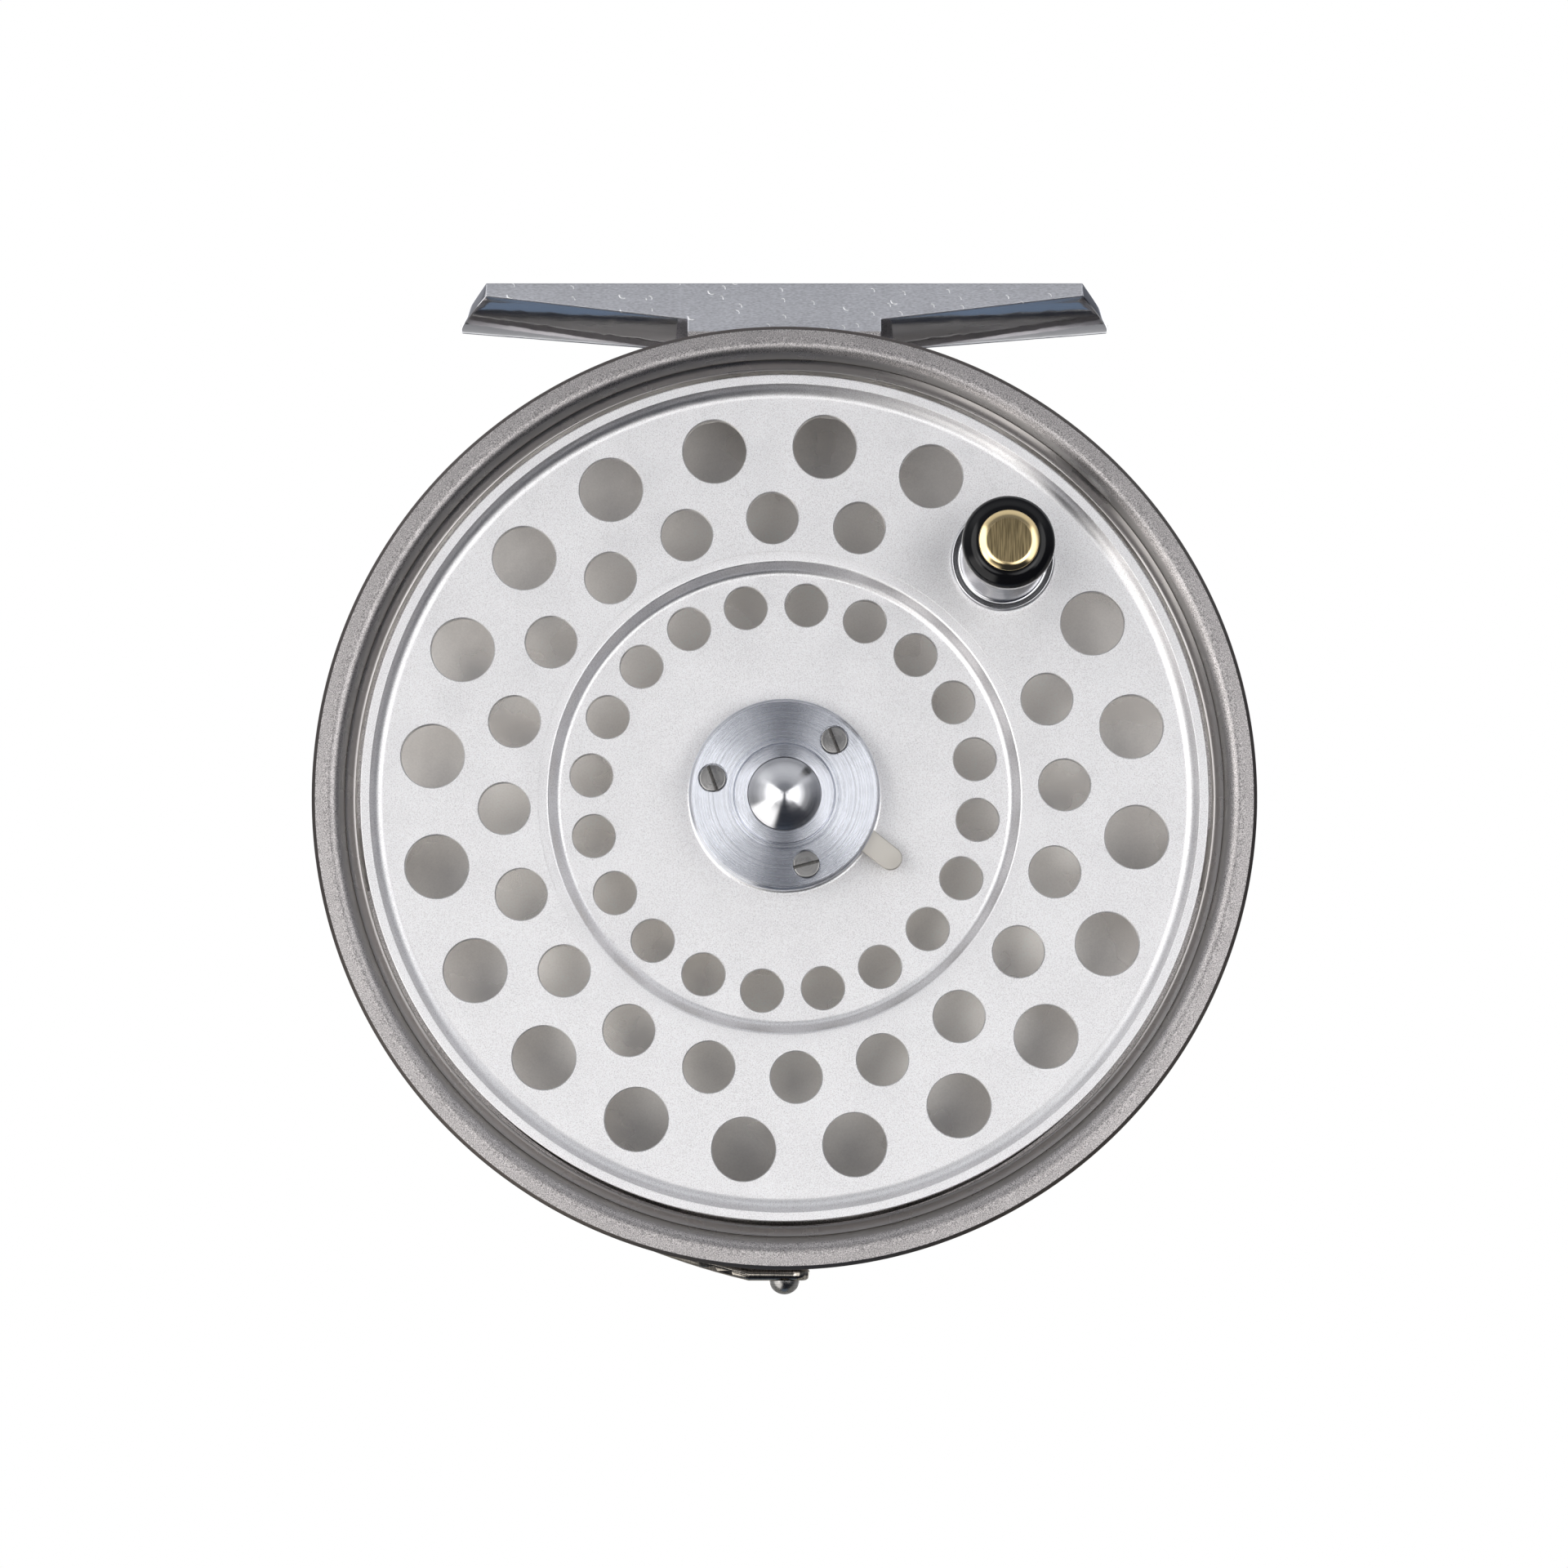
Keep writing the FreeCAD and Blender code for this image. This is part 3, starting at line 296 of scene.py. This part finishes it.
def dings(metal, size, share, turn):
    """Sparse crescents on the faces that look along Y, as a 0 to 1 pattern."""
    parts = metal.add("ShaderNodeSeparateXYZ", {0: metal.place}).outputs
    face = metal.add("ShaderNodeCombineXYZ", {0: parts[0], 1: parts[2], 2: 0.0}).outputs[0]
    cells = metal.add("ShaderNodeTexVoronoi", {"Vector": face, "Scale": 0.35 / size},
                      voronoi_dimensions="2D")
    arm = metal.vector("SUBTRACT", face, cells.outputs["Position"]).outputs[0]
    reach = metal.vector("LENGTH", arm).outputs["Value"]
    off_line = metal.math("ABSOLUTE", metal.math("SUBTRACT", reach, 0.5 * size))
    line = metal.ramp(off_line, 0.03 * size, 0.10 * size, 1.0, 0.0)
    heading = (math.cos(turn), math.sin(turn), 0.0)
    ahead = metal.vector("DOT_PRODUCT", metal.vector("NORMALIZE", arm).outputs[0], heading)
    part_ring = metal.ramp(ahead.outputs["Value"], 0.35, 0.75)
    lot = metal.add("ShaderNodeSeparateColor", {0: cells.outputs["Color"]}).outputs[0]
    chosen = metal.ramp(lot, 1.0 - share, 1.0 - 0.8 * share)
    return metal.math("MULTIPLY", metal.math("MULTIPLY", line, part_ring), chosen)


MILLED_Y = (6.33 * MM, 6.43 * MM)           # the foot's milled faces are this far from its middle


def foot_finish():
    """Milled bar: satin front and rear with handling marks, polished underside and saddle."""
    metal = Finish("foot_alloy", (0.59, 0.595, 0.63), 0.30)
    milled = metal.ramp(metal.math("ABSOLUTE", metal.depth()), *MILLED_Y)
    marks = metal.noise(0.09 * MM, stretch=(0.25, 1.0, 1.0))
    patches = metal.noise(7 * MM)
    scars = metal.math("MAXIMUM", dings(metal, 0.75 * MM, 0.30, -2.1), dings(metal, 0.5 * MM, 0.35, 0.7))
    scars = metal.math("MULTIPLY", scars, milled)
    metal.vary_colour(metal.only_where(milled, marks), 0.20)
    metal.vary_colour(patches, 0.06)
    metal.tint(scars, (1.0, 1.0, 1.0))
    metal.roughness = metal.ramp(milled, 0.0, 1.0, 0.10, 0.36, smooth=False)
    metal.raise_by(metal.math("MULTIPLY", marks, milled), 0.006 * MM, 0.6)
    metal.raise_by(scars, 0.02 * MM, 0.8)
    return metal.finish()


RIVET_FLAT_R = (2.0 * MM, 2.15 * MM)


def rivet_finish():
    """Brass rivet, its flat top brushed upright and darkened by a painted dark reflection, and its rim
    polished.
    """
    metal = Finish("rivet_brass", (0.88, 0.69, 0.38), 0.14)
    radius = metal.turned_radius(AXIS + HANDLE)
    flat_top = metal.ramp(radius, *RIVET_FLAT_R, 1.0, 0.0)
    lines = metal.noise(0.10 * MM, stretch=(1.0, 0.05, 0.05))
    # Painted dark reflection: the flat top is tinted dark brown.
    metal.tint(flat_top, (0.25, 0.195, 0.105))
    metal.vary_colour(metal.only_where(flat_top, lines), 0.65)
    metal.roughness = metal.ramp(flat_top, 0.0, 1.0, 0.14, 0.38, smooth=False)
    metal.raise_by(metal.math("MULTIPLY", lines, flat_top), 0.008 * MM, 0.7)
    return metal.finish()


def screw_finish():
    """Steel screws; the heads in the hub cover show the rings of their own facing cut."""
    metal = Finish("screw_steel", (0.40, 0.39, 0.38), 0.28)
    reach = None
    for angle in COVER_SCREW_ANGLES:
        radius = metal.turned_radius(AXIS + polar(COVER_SCREW_CIRCLE_R, angle))
        reach = metal.math("MINIMUM", reach, radius) if reach else radius
    rings = metal.lines(reach, 0.11 * MM, detail=1.0)
    metal.vary_colour(rings, 0.14)
    metal.vary_roughness(metal.noise(2 * MM), 0.22, 0.34)
    metal.raise_by(rings, 0.006 * MM, 0.6)
    return metal.finish()


def knob_finish():
    """Moulded black knob, glossy from use."""
    plastic = Finish("knob_black", (0.006, 0.006, 0.007), 0.12, metallic=0.0, Specular_IOR_Level=0.28)
    plastic.vary_roughness(plastic.noise(2 * MM), 0.08, 0.16)
    plastic.raise_by(plastic.noise(0.8 * MM), 0.003 * MM, 0.3)
    return plastic.finish()


def paint(materials):
    """Give each CAD node the material of its slot."""
    for subpart in frame["record"]["subparts"]:
        node = frame["nodes"][subpart["node"]]
        node.data.materials.clear()
        node.data.materials.append(materials[subpart["material_slot"]])


# ---- turned pieces ------------------------------------------------------------------------
# These stand for the CAD nodes that show the most, with far finer facets. Their outlines are the
# CAD's, with a little more detail in the ring's cove, round the face's field and on the cover.
# A corner is its distance from the piece's own axis, its place along Y and a fillet, in mm.
RIM_R = 44.5
RIM_BORE_R = 40.45
RING_REAR_Y = -9.6
FACE_R = 40.0
FACE_FRONT_Y = -12.5
FACE_REAR_Y = -10.3
FIELD_Y = -11.5
DISH_Y = -10.1
HUB_BORE_R = 4.62
HUB_REAR_Y = -8.9
BACK_INNER_Y = 11.7
BACK_FIELD_Y = 12.7
BACK_Y = 13.5
BACK_BORE_R = 3.02
RIM_FRONT_Y = 7.4
FLANGE_Y = (7.4, 8.6)
COVER_Y = -14.9
COVER_BORE_R = 3.47
COVER_BOSS_Y = -15.4

RING = (
    (RIM_BORE_R, RING_REAR_Y), (RIM_BORE_R, -11.75, 0.05), (40.64, -11.79, 0.5), (41.38, -12.43),
    (41.42, -12.36), (41.47, -12.5), (42.37, -13.5, 1.25), (44.14, -13.38, 0.05), (RIM_R, -13.0, 0.1),
    (RIM_R, RING_REAR_Y),
)
SPOOL_FACE = (
    (HUB_BORE_R, FACE_FRONT_Y), (8.6, FACE_FRONT_Y, 0.15), (8.6, DISH_Y, 0.6), (21.55, DISH_Y, 0.8),
    (22.3, -11.35, 0.3), (23.3, -11.35), (23.3, FIELD_Y), (38.72, FIELD_Y, 1.35),
    (39.1, FACE_FRONT_Y, 0.1), (FACE_R, FACE_FRONT_Y, 0.12), (FACE_R, FACE_REAR_Y, 0.3),
    (23.9, FACE_REAR_Y, 0.5), (22.6, HUB_REAR_Y, 0.5), (HUB_BORE_R, HUB_REAR_Y),
)
BACK = (
    (BACK_BORE_R, BACK_INNER_Y), (22.8, BACK_INNER_Y), (23.4, 11.1), (RIM_BORE_R, 11.1, 0.6),
    (RIM_BORE_R, RIM_FRONT_Y), (RIM_R, RIM_FRONT_Y), (RIM_R, 13.1, 0.1), (44.22, BACK_Y, 0.06),
    (41.4, BACK_Y, 0.4), (40.6, BACK_FIELD_Y, 0.6), (24.5, BACK_FIELD_Y, 0.6), (23.6, BACK_Y, 0.3),
    (BACK_BORE_R, BACK_Y),
)
REAR_FLANGE = (
    (HUB_BORE_R, FLANGE_Y[0]), (38.8, FLANGE_Y[0], 0.3), (39.2, 6.9, 0.2), (FACE_R, 6.9, 0.25),
    (FACE_R, FLANGE_Y[1], 0.25), (HUB_BORE_R, FLANGE_Y[1]),
)
COVER = (
    (COVER_BORE_R, -13.7), (8.0, -13.7), (8.0, FACE_FRONT_Y), (9.0, FACE_FRONT_Y), (9.0, -14.55, 0.12),
    (8.78, -14.76, 0.06), (8.7, COVER_Y, 0.04), (5.2, COVER_Y), (5.14, COVER_Y + 0.05), (5.08, COVER_Y),
    (4.82, COVER_Y), (4.82, COVER_Y + 0.35), (4.66, COVER_Y + 0.35), (4.65, COVER_BOSS_Y, 0.05),
    (COVER_BORE_R, COVER_BOSS_Y, 0.04),
)
SPINDLE = (
    (0, 14.9), (0, -16.95), (0.9, -16.78, 3.5), (1.8, -16.45, 4.0), (2.7, -15.95, 4.0),
    (3.42, -15.37, 0.1), (3.42, -13.75), (2.6, -13.75), (2.6, -12.45), (3.5, -12.45), (3.5, 10.6),
    (6.0, 10.6, 0.2), (6.0, BACK_INNER_Y), (3.0, BACK_INNER_Y), (3.0, 14.9, 0.2),
)
POST_R = 1.5
POST_HEAD_R = 2.2
POST_HEAD_DEPTH = 0.7
FERRULE = (
    (0, -27.2), (POST_R, -27.2), (POST_R, -13.6), (3.0, -13.6, 0.1), (4.15, -12.15, 0.35),
    (4.75, -12.5, 0.12), (4.95, -12.25, 0.08), (4.95, FIELD_Y), (POST_R, FIELD_Y), (POST_R, -11.0),
    (POST_HEAD_R, FACE_REAR_Y), (0, FACE_REAR_Y),
)
KNOB = (
    (1.55, -13.75), (3.0, -13.75, 0.3), (3.3, -16.0, 8.0), (3.55, -21.0, 12.0), (4.3, -25.2, 3.0),
    (4.3, -26.9, 1.0), (3.3, -27.6, 1.4), (1.55, -27.6),
)
RIVET = (
    (0, -23.1), (0, -28.4), (2.22, -28.4, 1.2), (2.82, -28.16, 0.15), (2.82, -27.7), (0.85, -27.7),
    (0.85, -23.1),
)

# Holes, in mm.
FAR = 30.0                                  # cutters reach this far either way
FIT = 0.02
HOLE_BREAK = 0.08
HOLE_COUNT = 20
FACE_HOLES = (       # pitch radius, hole radius, field, first hole in degrees, holes left out
    (33.44, 3.0, FIELD_Y, 11.42, (2,)),
    (26.47, 2.44, FIELD_Y, 2.42, (2, 3)),
    (18.38, 2.03, DISH_Y, 11.44, ()),
)
BACK_HOLES = ((34.6, 3.0, BACK_FIELD_Y, 9.0, ()), (27.9, 2.4, BACK_FIELD_Y, 9.0, ()))
BACK_SCREW_CIRCLE_R = 42.7
BACK_SCREW_ANGLES = (78.5, 101.5, 187.0, 273.0, 353.0)
BACK_SCREW_R = 0.9
BACK_HEAD_R = 1.8
BACK_HEAD_DEPTH = 0.9
BACK_POSTS = (       # posts of one pawl: distance below or above the spindle, across, radius
    (14.08, 0.0, 1.1), (18.03, -7.0, 0.8), (18.03, 7.0, 0.8),
)
ADJUSTER_DROP = 19.13
ADJUSTER_R = 1.55
COVER_SCREW_R = 0.75
COVER_HEAD_R = 1.38
COVER_HEAD_DEPTH = 0.8
LATCH_ANGLE = -38.2
LEVER_GAP = ((6.5, -4.6), (10.0, -5.6), (10.0, 3.4), (6.5, 3.2))     # along and across the lever
LEVER_GAP_Y = (-13.7, -11.0)


def fillet(before, here, after, radius):
    """Points of the arc that rounds one corner of an outline."""
    to_before = (before - here).normalized()
    to_after = (after - here).normalized()
    half = to_before.angle(to_after) / 2
    reach = radius / math.tan(half)
    centre = here + (to_before + to_after).normalized() * (radius / math.sin(half))
    start = here + to_before * reach - centre
    end = here + to_after * reach - centre
    turn = start.angle(end)
    steps = max(2, math.ceil(turn / FILLET_STEP))
    points = []
    for step in range(steps + 1):
        share = step / steps
        arm = start * math.sin((1 - share) * turn) + end * math.sin(share * turn)
        points.append(centre + arm / math.sin(turn))
    return points


def outline(corners):
    places = [Vector(corner[:2]) for corner in corners]
    points = []
    for index, corner in enumerate(corners):
        here = places[index]
        if len(corner) == 3:
            after = places[(index + 1) % len(places)]
            points += fillet(places[index - 1], here, after, corner[2])
        else:
            points.append(here)
    return points


def lathe(mesh, corners, steps, centre):
    """Outline spun about an axis along Y, added to a bmesh."""
    rings = []
    for radius, place in outline(corners):
        count = steps if radius > 0 else 1
        ring = []
        for step in range(count):
            across = centre + polar(radius, 360 * step / steps)
            ring.append(mesh.verts.new((across.x, place * MM, across.z)))
        rings.append(ring)
    for index, ring in enumerate(rings):
        following = rings[(index + 1) % len(rings)]
        for step in range(steps):
            after = (step + 1) % steps
            corners_here = [ring[step % len(ring)], ring[after % len(ring)],
                            following[after % len(following)], following[step % len(following)]]
            loop = list(dict.fromkeys(corners_here))
            if len(loop) > 2:
                mesh.faces.new(loop)


def plug(mesh, radius, centre, field=None, side=1, wide=None, depth=HOLE_BREAK):
    """Cutter of a through hole, widened over a depth from the field on one side, -1 or 1, of it."""
    corners = [(0, side * FAR), (radius, side * FAR), (radius, -side * FAR), (0, -side * FAR)]
    if wide:
        corners[1:2] = [(wide, side * FAR), (wide, field), (radius, field - side * depth)]
    lathe(mesh, corners, HOLE_STEPS, centre)


def hole_rings(mesh, rings, side):
    for pitch, radius, field, first, skipped in rings:
        for index in range(HOLE_COUNT):
            if index not in skipped:
                centre = AXIS + polar(pitch, first + index * 360 / HOLE_COUNT)
                plug(mesh, radius, centre, field, side, radius + HOLE_BREAK)


def face_cutters(mesh):
    """Round holes of the spool face, and the seat of the handle's riveted post."""
    hole_rings(mesh, FACE_HOLES, -1)
    plug(mesh, POST_R + FIT, AXIS + HANDLE, FACE_REAR_Y, 1, POST_HEAD_R + FIT, POST_HEAD_DEPTH)


def back_cutters(mesh):
    """Round holes of the back, its screw seats, and the holes for the posts and the adjuster."""
    hole_rings(mesh, BACK_HOLES, 1)
    for angle in BACK_SCREW_ANGLES:
        centre = AXIS + polar(BACK_SCREW_CIRCLE_R, angle)
        plug(mesh, BACK_SCREW_R + FIT, centre, BACK_Y, 1, BACK_HEAD_R + FIT, BACK_HEAD_DEPTH)
    for side in (-1, 1):
        for reach, across, radius in BACK_POSTS:
            plug(mesh, radius + FIT, AXIS + Vector((across, 0.0, side * reach)) * MM)
    plug(mesh, ADJUSTER_R, AXIS + polar(ADJUSTER_DROP, 270.0))


def cover_cutters(mesh):
    """Sunk screw seats of the hub cover, and the gap that the lever moves in."""
    for angle in COVER_SCREW_ANGLES:
        centre = AXIS + polar(COVER_SCREW_CIRCLE_R, angle)
        plug(mesh, COVER_SCREW_R + FIT, centre, COVER_Y + COVER_HEAD_DEPTH, -1, COVER_HEAD_R, 0.0)
    along = polar(1.0, LATCH_ANGLE)
    across = polar(1.0, LATCH_ANGLE + 90)
    rims = []
    for place in LEVER_GAP_Y:
        floor = Vector((AXIS.x, place * MM, AXIS.z))
        rims.append([mesh.verts.new(floor + along * far + across * off) for far, off in LEVER_GAP])
    front, rear = rims
    mesh.faces.new(front)
    mesh.faces.new(rear)
    for index in range(4):
        following = (index + 1) % 4
        mesh.faces.new((front[index], front[following], rear[following], rear[index]))


def mesh_object(name, mesh):
    bmesh.ops.recalc_face_normals(mesh, faces=mesh.faces)
    data = bpy.data.meshes.new(name)
    mesh.to_mesh(data)
    mesh.free()
    piece = bpy.data.objects.new(name, data)
    bpy.context.scene.collection.objects.link(piece)
    return piece


def cut_away(piece, cutter):
    """Subtract the cutter for good, and drop it."""
    modifier = piece.modifiers.new("cut", "BOOLEAN")
    modifier.solver = "MANIFOLD"
    modifier.object = cutter
    ready = piece.evaluated_get(bpy.context.evaluated_depsgraph_get())
    plain = piece.data
    piece.data = bpy.data.meshes.new_from_object(ready)
    piece.modifiers.clear()
    bpy.data.meshes.remove(plain)
    bpy.data.objects.remove(cutter)


def body_of(node):
    bodies = frame["record"]["behaviour"]["bodies"]
    return next(name for name, nodes in bodies.items() if node in nodes)


def slot_of(node):
    subparts = frame["record"]["subparts"]
    return next(subpart["material_slot"] for subpart in subparts if subpart["node"] == node)


def turned_piece(materials, node, corners, cutters=None, centre=AXIS):
    """Finely turned stand-in for a CAD node, less what the cutters function adds."""
    mesh = bmesh.new()
    lathe(mesh, corners, TURNED_STEPS, centre)
    piece = mesh_object(node + "_turned", mesh)
    if cutters:
        mesh = bmesh.new()
        cutters(mesh)
        cut_away(piece, mesh_object("cutters", mesh))
    slot = slot_of(node)
    piece.data.materials.clear()
    piece.data.materials.append(materials[slot])
    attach(piece, body_of(node))
    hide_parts(node)
    return piece


def make_turned_pieces(materials):
    handle = AXIS + HANDLE
    return [
        turned_piece(materials, "frame_ring", RING),
        turned_piece(materials, "spool_face", SPOOL_FACE, face_cutters),
        turned_piece(materials, "back_plate", BACK, back_cutters),
        turned_piece(materials, "spool_rear_flange", REAR_FLANGE),
        turned_piece(materials, "latch_cover", COVER, cover_cutters),
        turned_piece(materials, "spindle", SPINDLE),
        turned_piece(materials, "knob_ferrule", FERRULE, centre=handle),
        turned_piece(materials, "knob", KNOB, centre=handle),
        turned_piece(materials, "knob_rivet", RIVET, centre=handle),
    ]


# ---- shading of the CAD nodes -------------------------------------------------------------
def sharpen_by_angle():
    """Geometry nodes that mark edges sharper than SHARP_ANGLE and smooth the rest."""
    tree = bpy.data.node_groups.new("sharpen_by_angle", "GeometryNodeTree")
    for side in ("INPUT", "OUTPUT"):
        tree.interface.new_socket("Geometry", in_out=side, socket_type="NodeSocketGeometry")
    graph = Graph(tree)
    entry = graph.add("NodeGroupInput").outputs[0]
    angle = graph.add("GeometryNodeInputMeshEdgeAngle").outputs["Unsigned Angle"]
    soft = graph.add("FunctionNodeCompare", {0: angle, 1: SHARP_ANGLE}, operation="LESS_EQUAL").outputs[0]
    smooth = graph.add("GeometryNodeSetShadeSmooth", {"Geometry": entry}).outputs[0]
    edges = graph.add("GeometryNodeSetShadeSmooth", {"Geometry": smooth, "Shade Smooth": soft},
                      domain="EDGE")
    graph.add("NodeGroupOutput", {0: edges.outputs[0]})
    return tree


def refine_shading(pieces):
    """Join the CAD meshes' split corners, and weigh the normals of all by face area."""
    tree = sharpen_by_angle()
    for node in [*frame["nodes"].values(), *pieces]:
        node.modifiers.new("weld", "WELD").merge_threshold = WELD_GAP
        node.modifiers.new("sharpen", "NODES").node_group = tree
        weighted = node.modifiers.new("weighted", "WEIGHTED_NORMAL")
        weighted.mode = "FACE_AREA"
        weighted.weight = 50
        weighted.keep_sharp = True


# ---- light, floor and camera --------------------------------------------------------------
WHITE = (1.0, 1.0, 1.0)
COOL = (0.76, 1.0, 1.35)
WARM = (1.0, 0.99, 0.93)
PANELS = (       # place round the spindle axis and half width, then inner and outer angle from it,
                 # in degrees; 0 is right and 90 is up; then soft edge, brightness and colour
    (180, 38, 13, 50, 6, 2.0, (1.0, 0.995, 0.985)),
    (0, 36, 13, 46, 6, 1.9, WHITE),
    (224, 25, 40, 96, 6, 1.6, (1.0, 0.985, 0.96)),
    (90, 60, 42, 76, 10, 0.50, (0.98, 0.99, 1.0)),
    (165, 40, 52, 88, 10, 0.22, WHITE),
)
WORLD_LOW = (0.025, 0.028, 0.038)
WORLD_HIGH = (0.205, 0.213, 0.235)
HORIZON = (-0.35, 0.35)                     # sines of the elevations that it changes between
GLOW_ELEVATION = math.radians(-12)          # two soft glows under the lens, left and right of it
GLOW_ASIDE = math.radians(14)
GLOW_REACH = (math.radians(3), math.radians(13.5))
GLOW = 2.35
BACKDROP = (         # strips low down behind the reel: sine of their elevation, brightness and tint
    (-1.0, 0.26, COOL), (-0.965, 0.23, COOL), (-0.95, 0.19, WARM), (-0.89, 0.28, WARM),
    (-0.88, 0.66, WARM), (-0.87, 0.58, WARM), (-0.862, 0.04, WARM), (-0.835, 0.04, WARM),
    (-0.82, 0.55, WARM), (-0.77, 0.60, WARM), (-0.75, 0.05, WARM), (-0.72, 0.07, WARM),
    (-0.70, 0.36, WHITE), (0.0, 0.55, WHITE),
)
BACKDROP_DEPTH = (-0.14, -0.02)             # it fades in where a direction turns from the front
BACKDROP_UP = (-0.1, -0.3)                  # and down


def make_world():
    """Studio with panels in front and, mirrored, behind; white where the camera looks past the reel."""
    world = bpy.data.worlds.new("studio")
    bpy.context.scene.world = world
    world.use_nodes = True
    graph = Graph(world.node_tree)
    world.node_tree.nodes.clear()
    towards = graph.add("ShaderNodeTexCoord").outputs["Generated"]
    right, depth, up = graph.add("ShaderNodeSeparateXYZ", {0: towards}).outputs
    flat = graph.vector("MULTIPLY", towards, (1.0, 0.0, 1.0)).outputs[0]
    round_axis = graph.vector("NORMALIZE", flat).outputs[0]
    total = colour_blend(graph, graph.ramp(up, *HORIZON), WORLD_LOW, WORLD_HIGH)
    aside, ahead = [graph.math("ABSOLUTE", part) for part in (right, depth)]
    folded = graph.add("ShaderNodeCombineXYZ", {0: aside, 1: ahead, 2: up}).outputs[0]
    off_axis = graph.math("ARCCOSINE", ahead)
    level = math.cos(GLOW_ELEVATION)
    glow_heading = (level * math.sin(GLOW_ASIDE), level * math.cos(GLOW_ASIDE), math.sin(GLOW_ELEVATION))
    near_glow = graph.vector("DOT_PRODUCT", folded, glow_heading).outputs["Value"]
    inner, outer = [math.cos(reach) for reach in GLOW_REACH]
    glow = graph.ramp(near_glow, outer, inner, 0.0, GLOW)
    total = colour_blend(graph, 1.0, total, graph.grey(glow), "ADD")
    for *angles, power, tint in PANELS:
        angle, half, inner, outer, soft = [math.radians(value) for value in angles]
        heading = (math.cos(angle), 0.0, math.sin(angle))
        near = graph.vector("DOT_PRODUCT", round_axis, heading).outputs["Value"]
        share = graph.ramp(near, math.cos(half + soft), math.cos(half - soft))
        share = graph.math("MULTIPLY", share, graph.ramp(off_axis, inner - soft, inner + soft))
        share = graph.math("MULTIPLY", share, graph.ramp(off_axis, outer - soft, outer + soft, 1.0, 0.0))
        light = graph.vector("SCALE", tuple(value * power for value in tint))
        graph.tree.links.new(share, light.inputs["Scale"])
        total = colour_blend(graph, 1.0, total, light.outputs[0], "ADD")
    backdrop = graph.add("ShaderNodeValToRGB", {0: graph.ramp(up, -1.0, 0.0, smooth=False)})
    stops = backdrop.color_ramp.elements
    for strip in BACKDROP[1:-1]:
        stops.new(strip[0] + 1.0)
    for stop, (height, power, tint) in zip(stops, BACKDROP):
        stop.position = height + 1.0
        stop.color = (*(value * power for value in tint), 1.0)
    behind = graph.math("MULTIPLY", graph.ramp(depth, *BACKDROP_DEPTH), graph.ramp(up, *BACKDROP_UP))
    total = colour_blend(graph, behind, total, backdrop.outputs[0])
    sight = graph.add("ShaderNodeLightPath").outputs["Is Camera Ray"]
    shown = colour_blend(graph, sight, total, WHITE)
    background = graph.add("ShaderNodeBackground", {"Color": shown})
    output = graph.add("ShaderNodeOutputWorld")
    graph.tree.links.new(background.outputs[0], output.inputs[0])


def make_floor():
    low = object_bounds()[0]
    bpy.ops.mesh.primitive_circle_add(vertices=96, radius=FLOOR_R, fill_type="NGON",
                                      location=(0.0, 0.0, low[2] - FLOOR_DROP))
    floor = bpy.context.object
    floor.name = "floor"
    paper = Finish("floor_paper", (0.9, 0.9, 0.9), 0.8, metallic=0.0)
    floor.data.materials.append(paper.finish())
    floor.visible_glossy = False


def make_camera():
    aim = Vector((AXIS.x, RING_LOW.y, AXIS.z)) + CAMERA_AIM
    back = Vector((0.0, -math.cos(CAMERA_ELEVATION), math.sin(CAMERA_ELEVATION)))
    data = bpy.data.cameras.new("camera")
    data.lens = CAMERA_LENS
    data.clip_start = 0.01
    camera = bpy.data.objects.new("camera", data)
    bpy.context.scene.collection.objects.link(camera)
    camera.location = aim + back * CAMERA_DISTANCE
    camera.rotation_euler = back.to_track_quat("Z", "Y").to_euler()
    bpy.context.scene.camera = camera


def make_materials():
    return {
        "frame_alloy": blasted_finish("frame_alloy", (0.465, 0.44, 0.435), 0.40, 0.09 * MM, 0.75,
                                      0.015 * MM, smooth_cove=True),
        "foot_alloy": foot_finish(),
        "nickel_silver": polished_finish("nickel_silver", (0.40, 0.365, 0.32), 0.12, hairlines=0.45),
        "screw_steel": screw_finish(),
        "spindle_steel": turned_finish("spindle_steel", (0.72, 0.72, 0.74), 0.22, 0.80, 0.06 * MM,
                                       0.001 * MM),
        "spool_alloy": blasted_finish("spool_alloy", (0.94, 0.922, 0.924), 0.42, 0.09 * MM, 0.30,
                                      0.009 * MM),
        "spool_turned": flange_finish(),
        "cover_alloy": turned_finish("cover_alloy", (0.78, 0.795, 0.85), 0.25, 0.97, 0.05 * MM,
                                     0.003 * MM, 0.10),
        "latch_nickel": polished_finish("latch_nickel", (0.70, 0.665, 0.61), 0.5),
        "spring_steel": polished_finish("spring_steel", (0.40, 0.41, 0.44), 0.3),
        "check_steel": polished_finish("check_steel", (0.48, 0.48, 0.49), 0.35),
        "brass": polished_finish("brass", (0.78, 0.60, 0.32), 0.25),
        "ferrule_alloy": polished_finish("ferrule_alloy", (0.72, 0.72, 0.74), 0.20),
        "knob_black": knob_finish(),
        "rivet_brass": rivet_finish(),
        "adjuster_alloy": polished_finish("adjuster_alloy", (0.66, 0.66, 0.67), 0.32),
    }


make_camera()
make_world()
make_floor()
finishes = make_materials()
paint(finishes)
refine_shading(make_turned_pieces(finishes))
bpy.context.scene.view_settings.view_transform = "Standard"
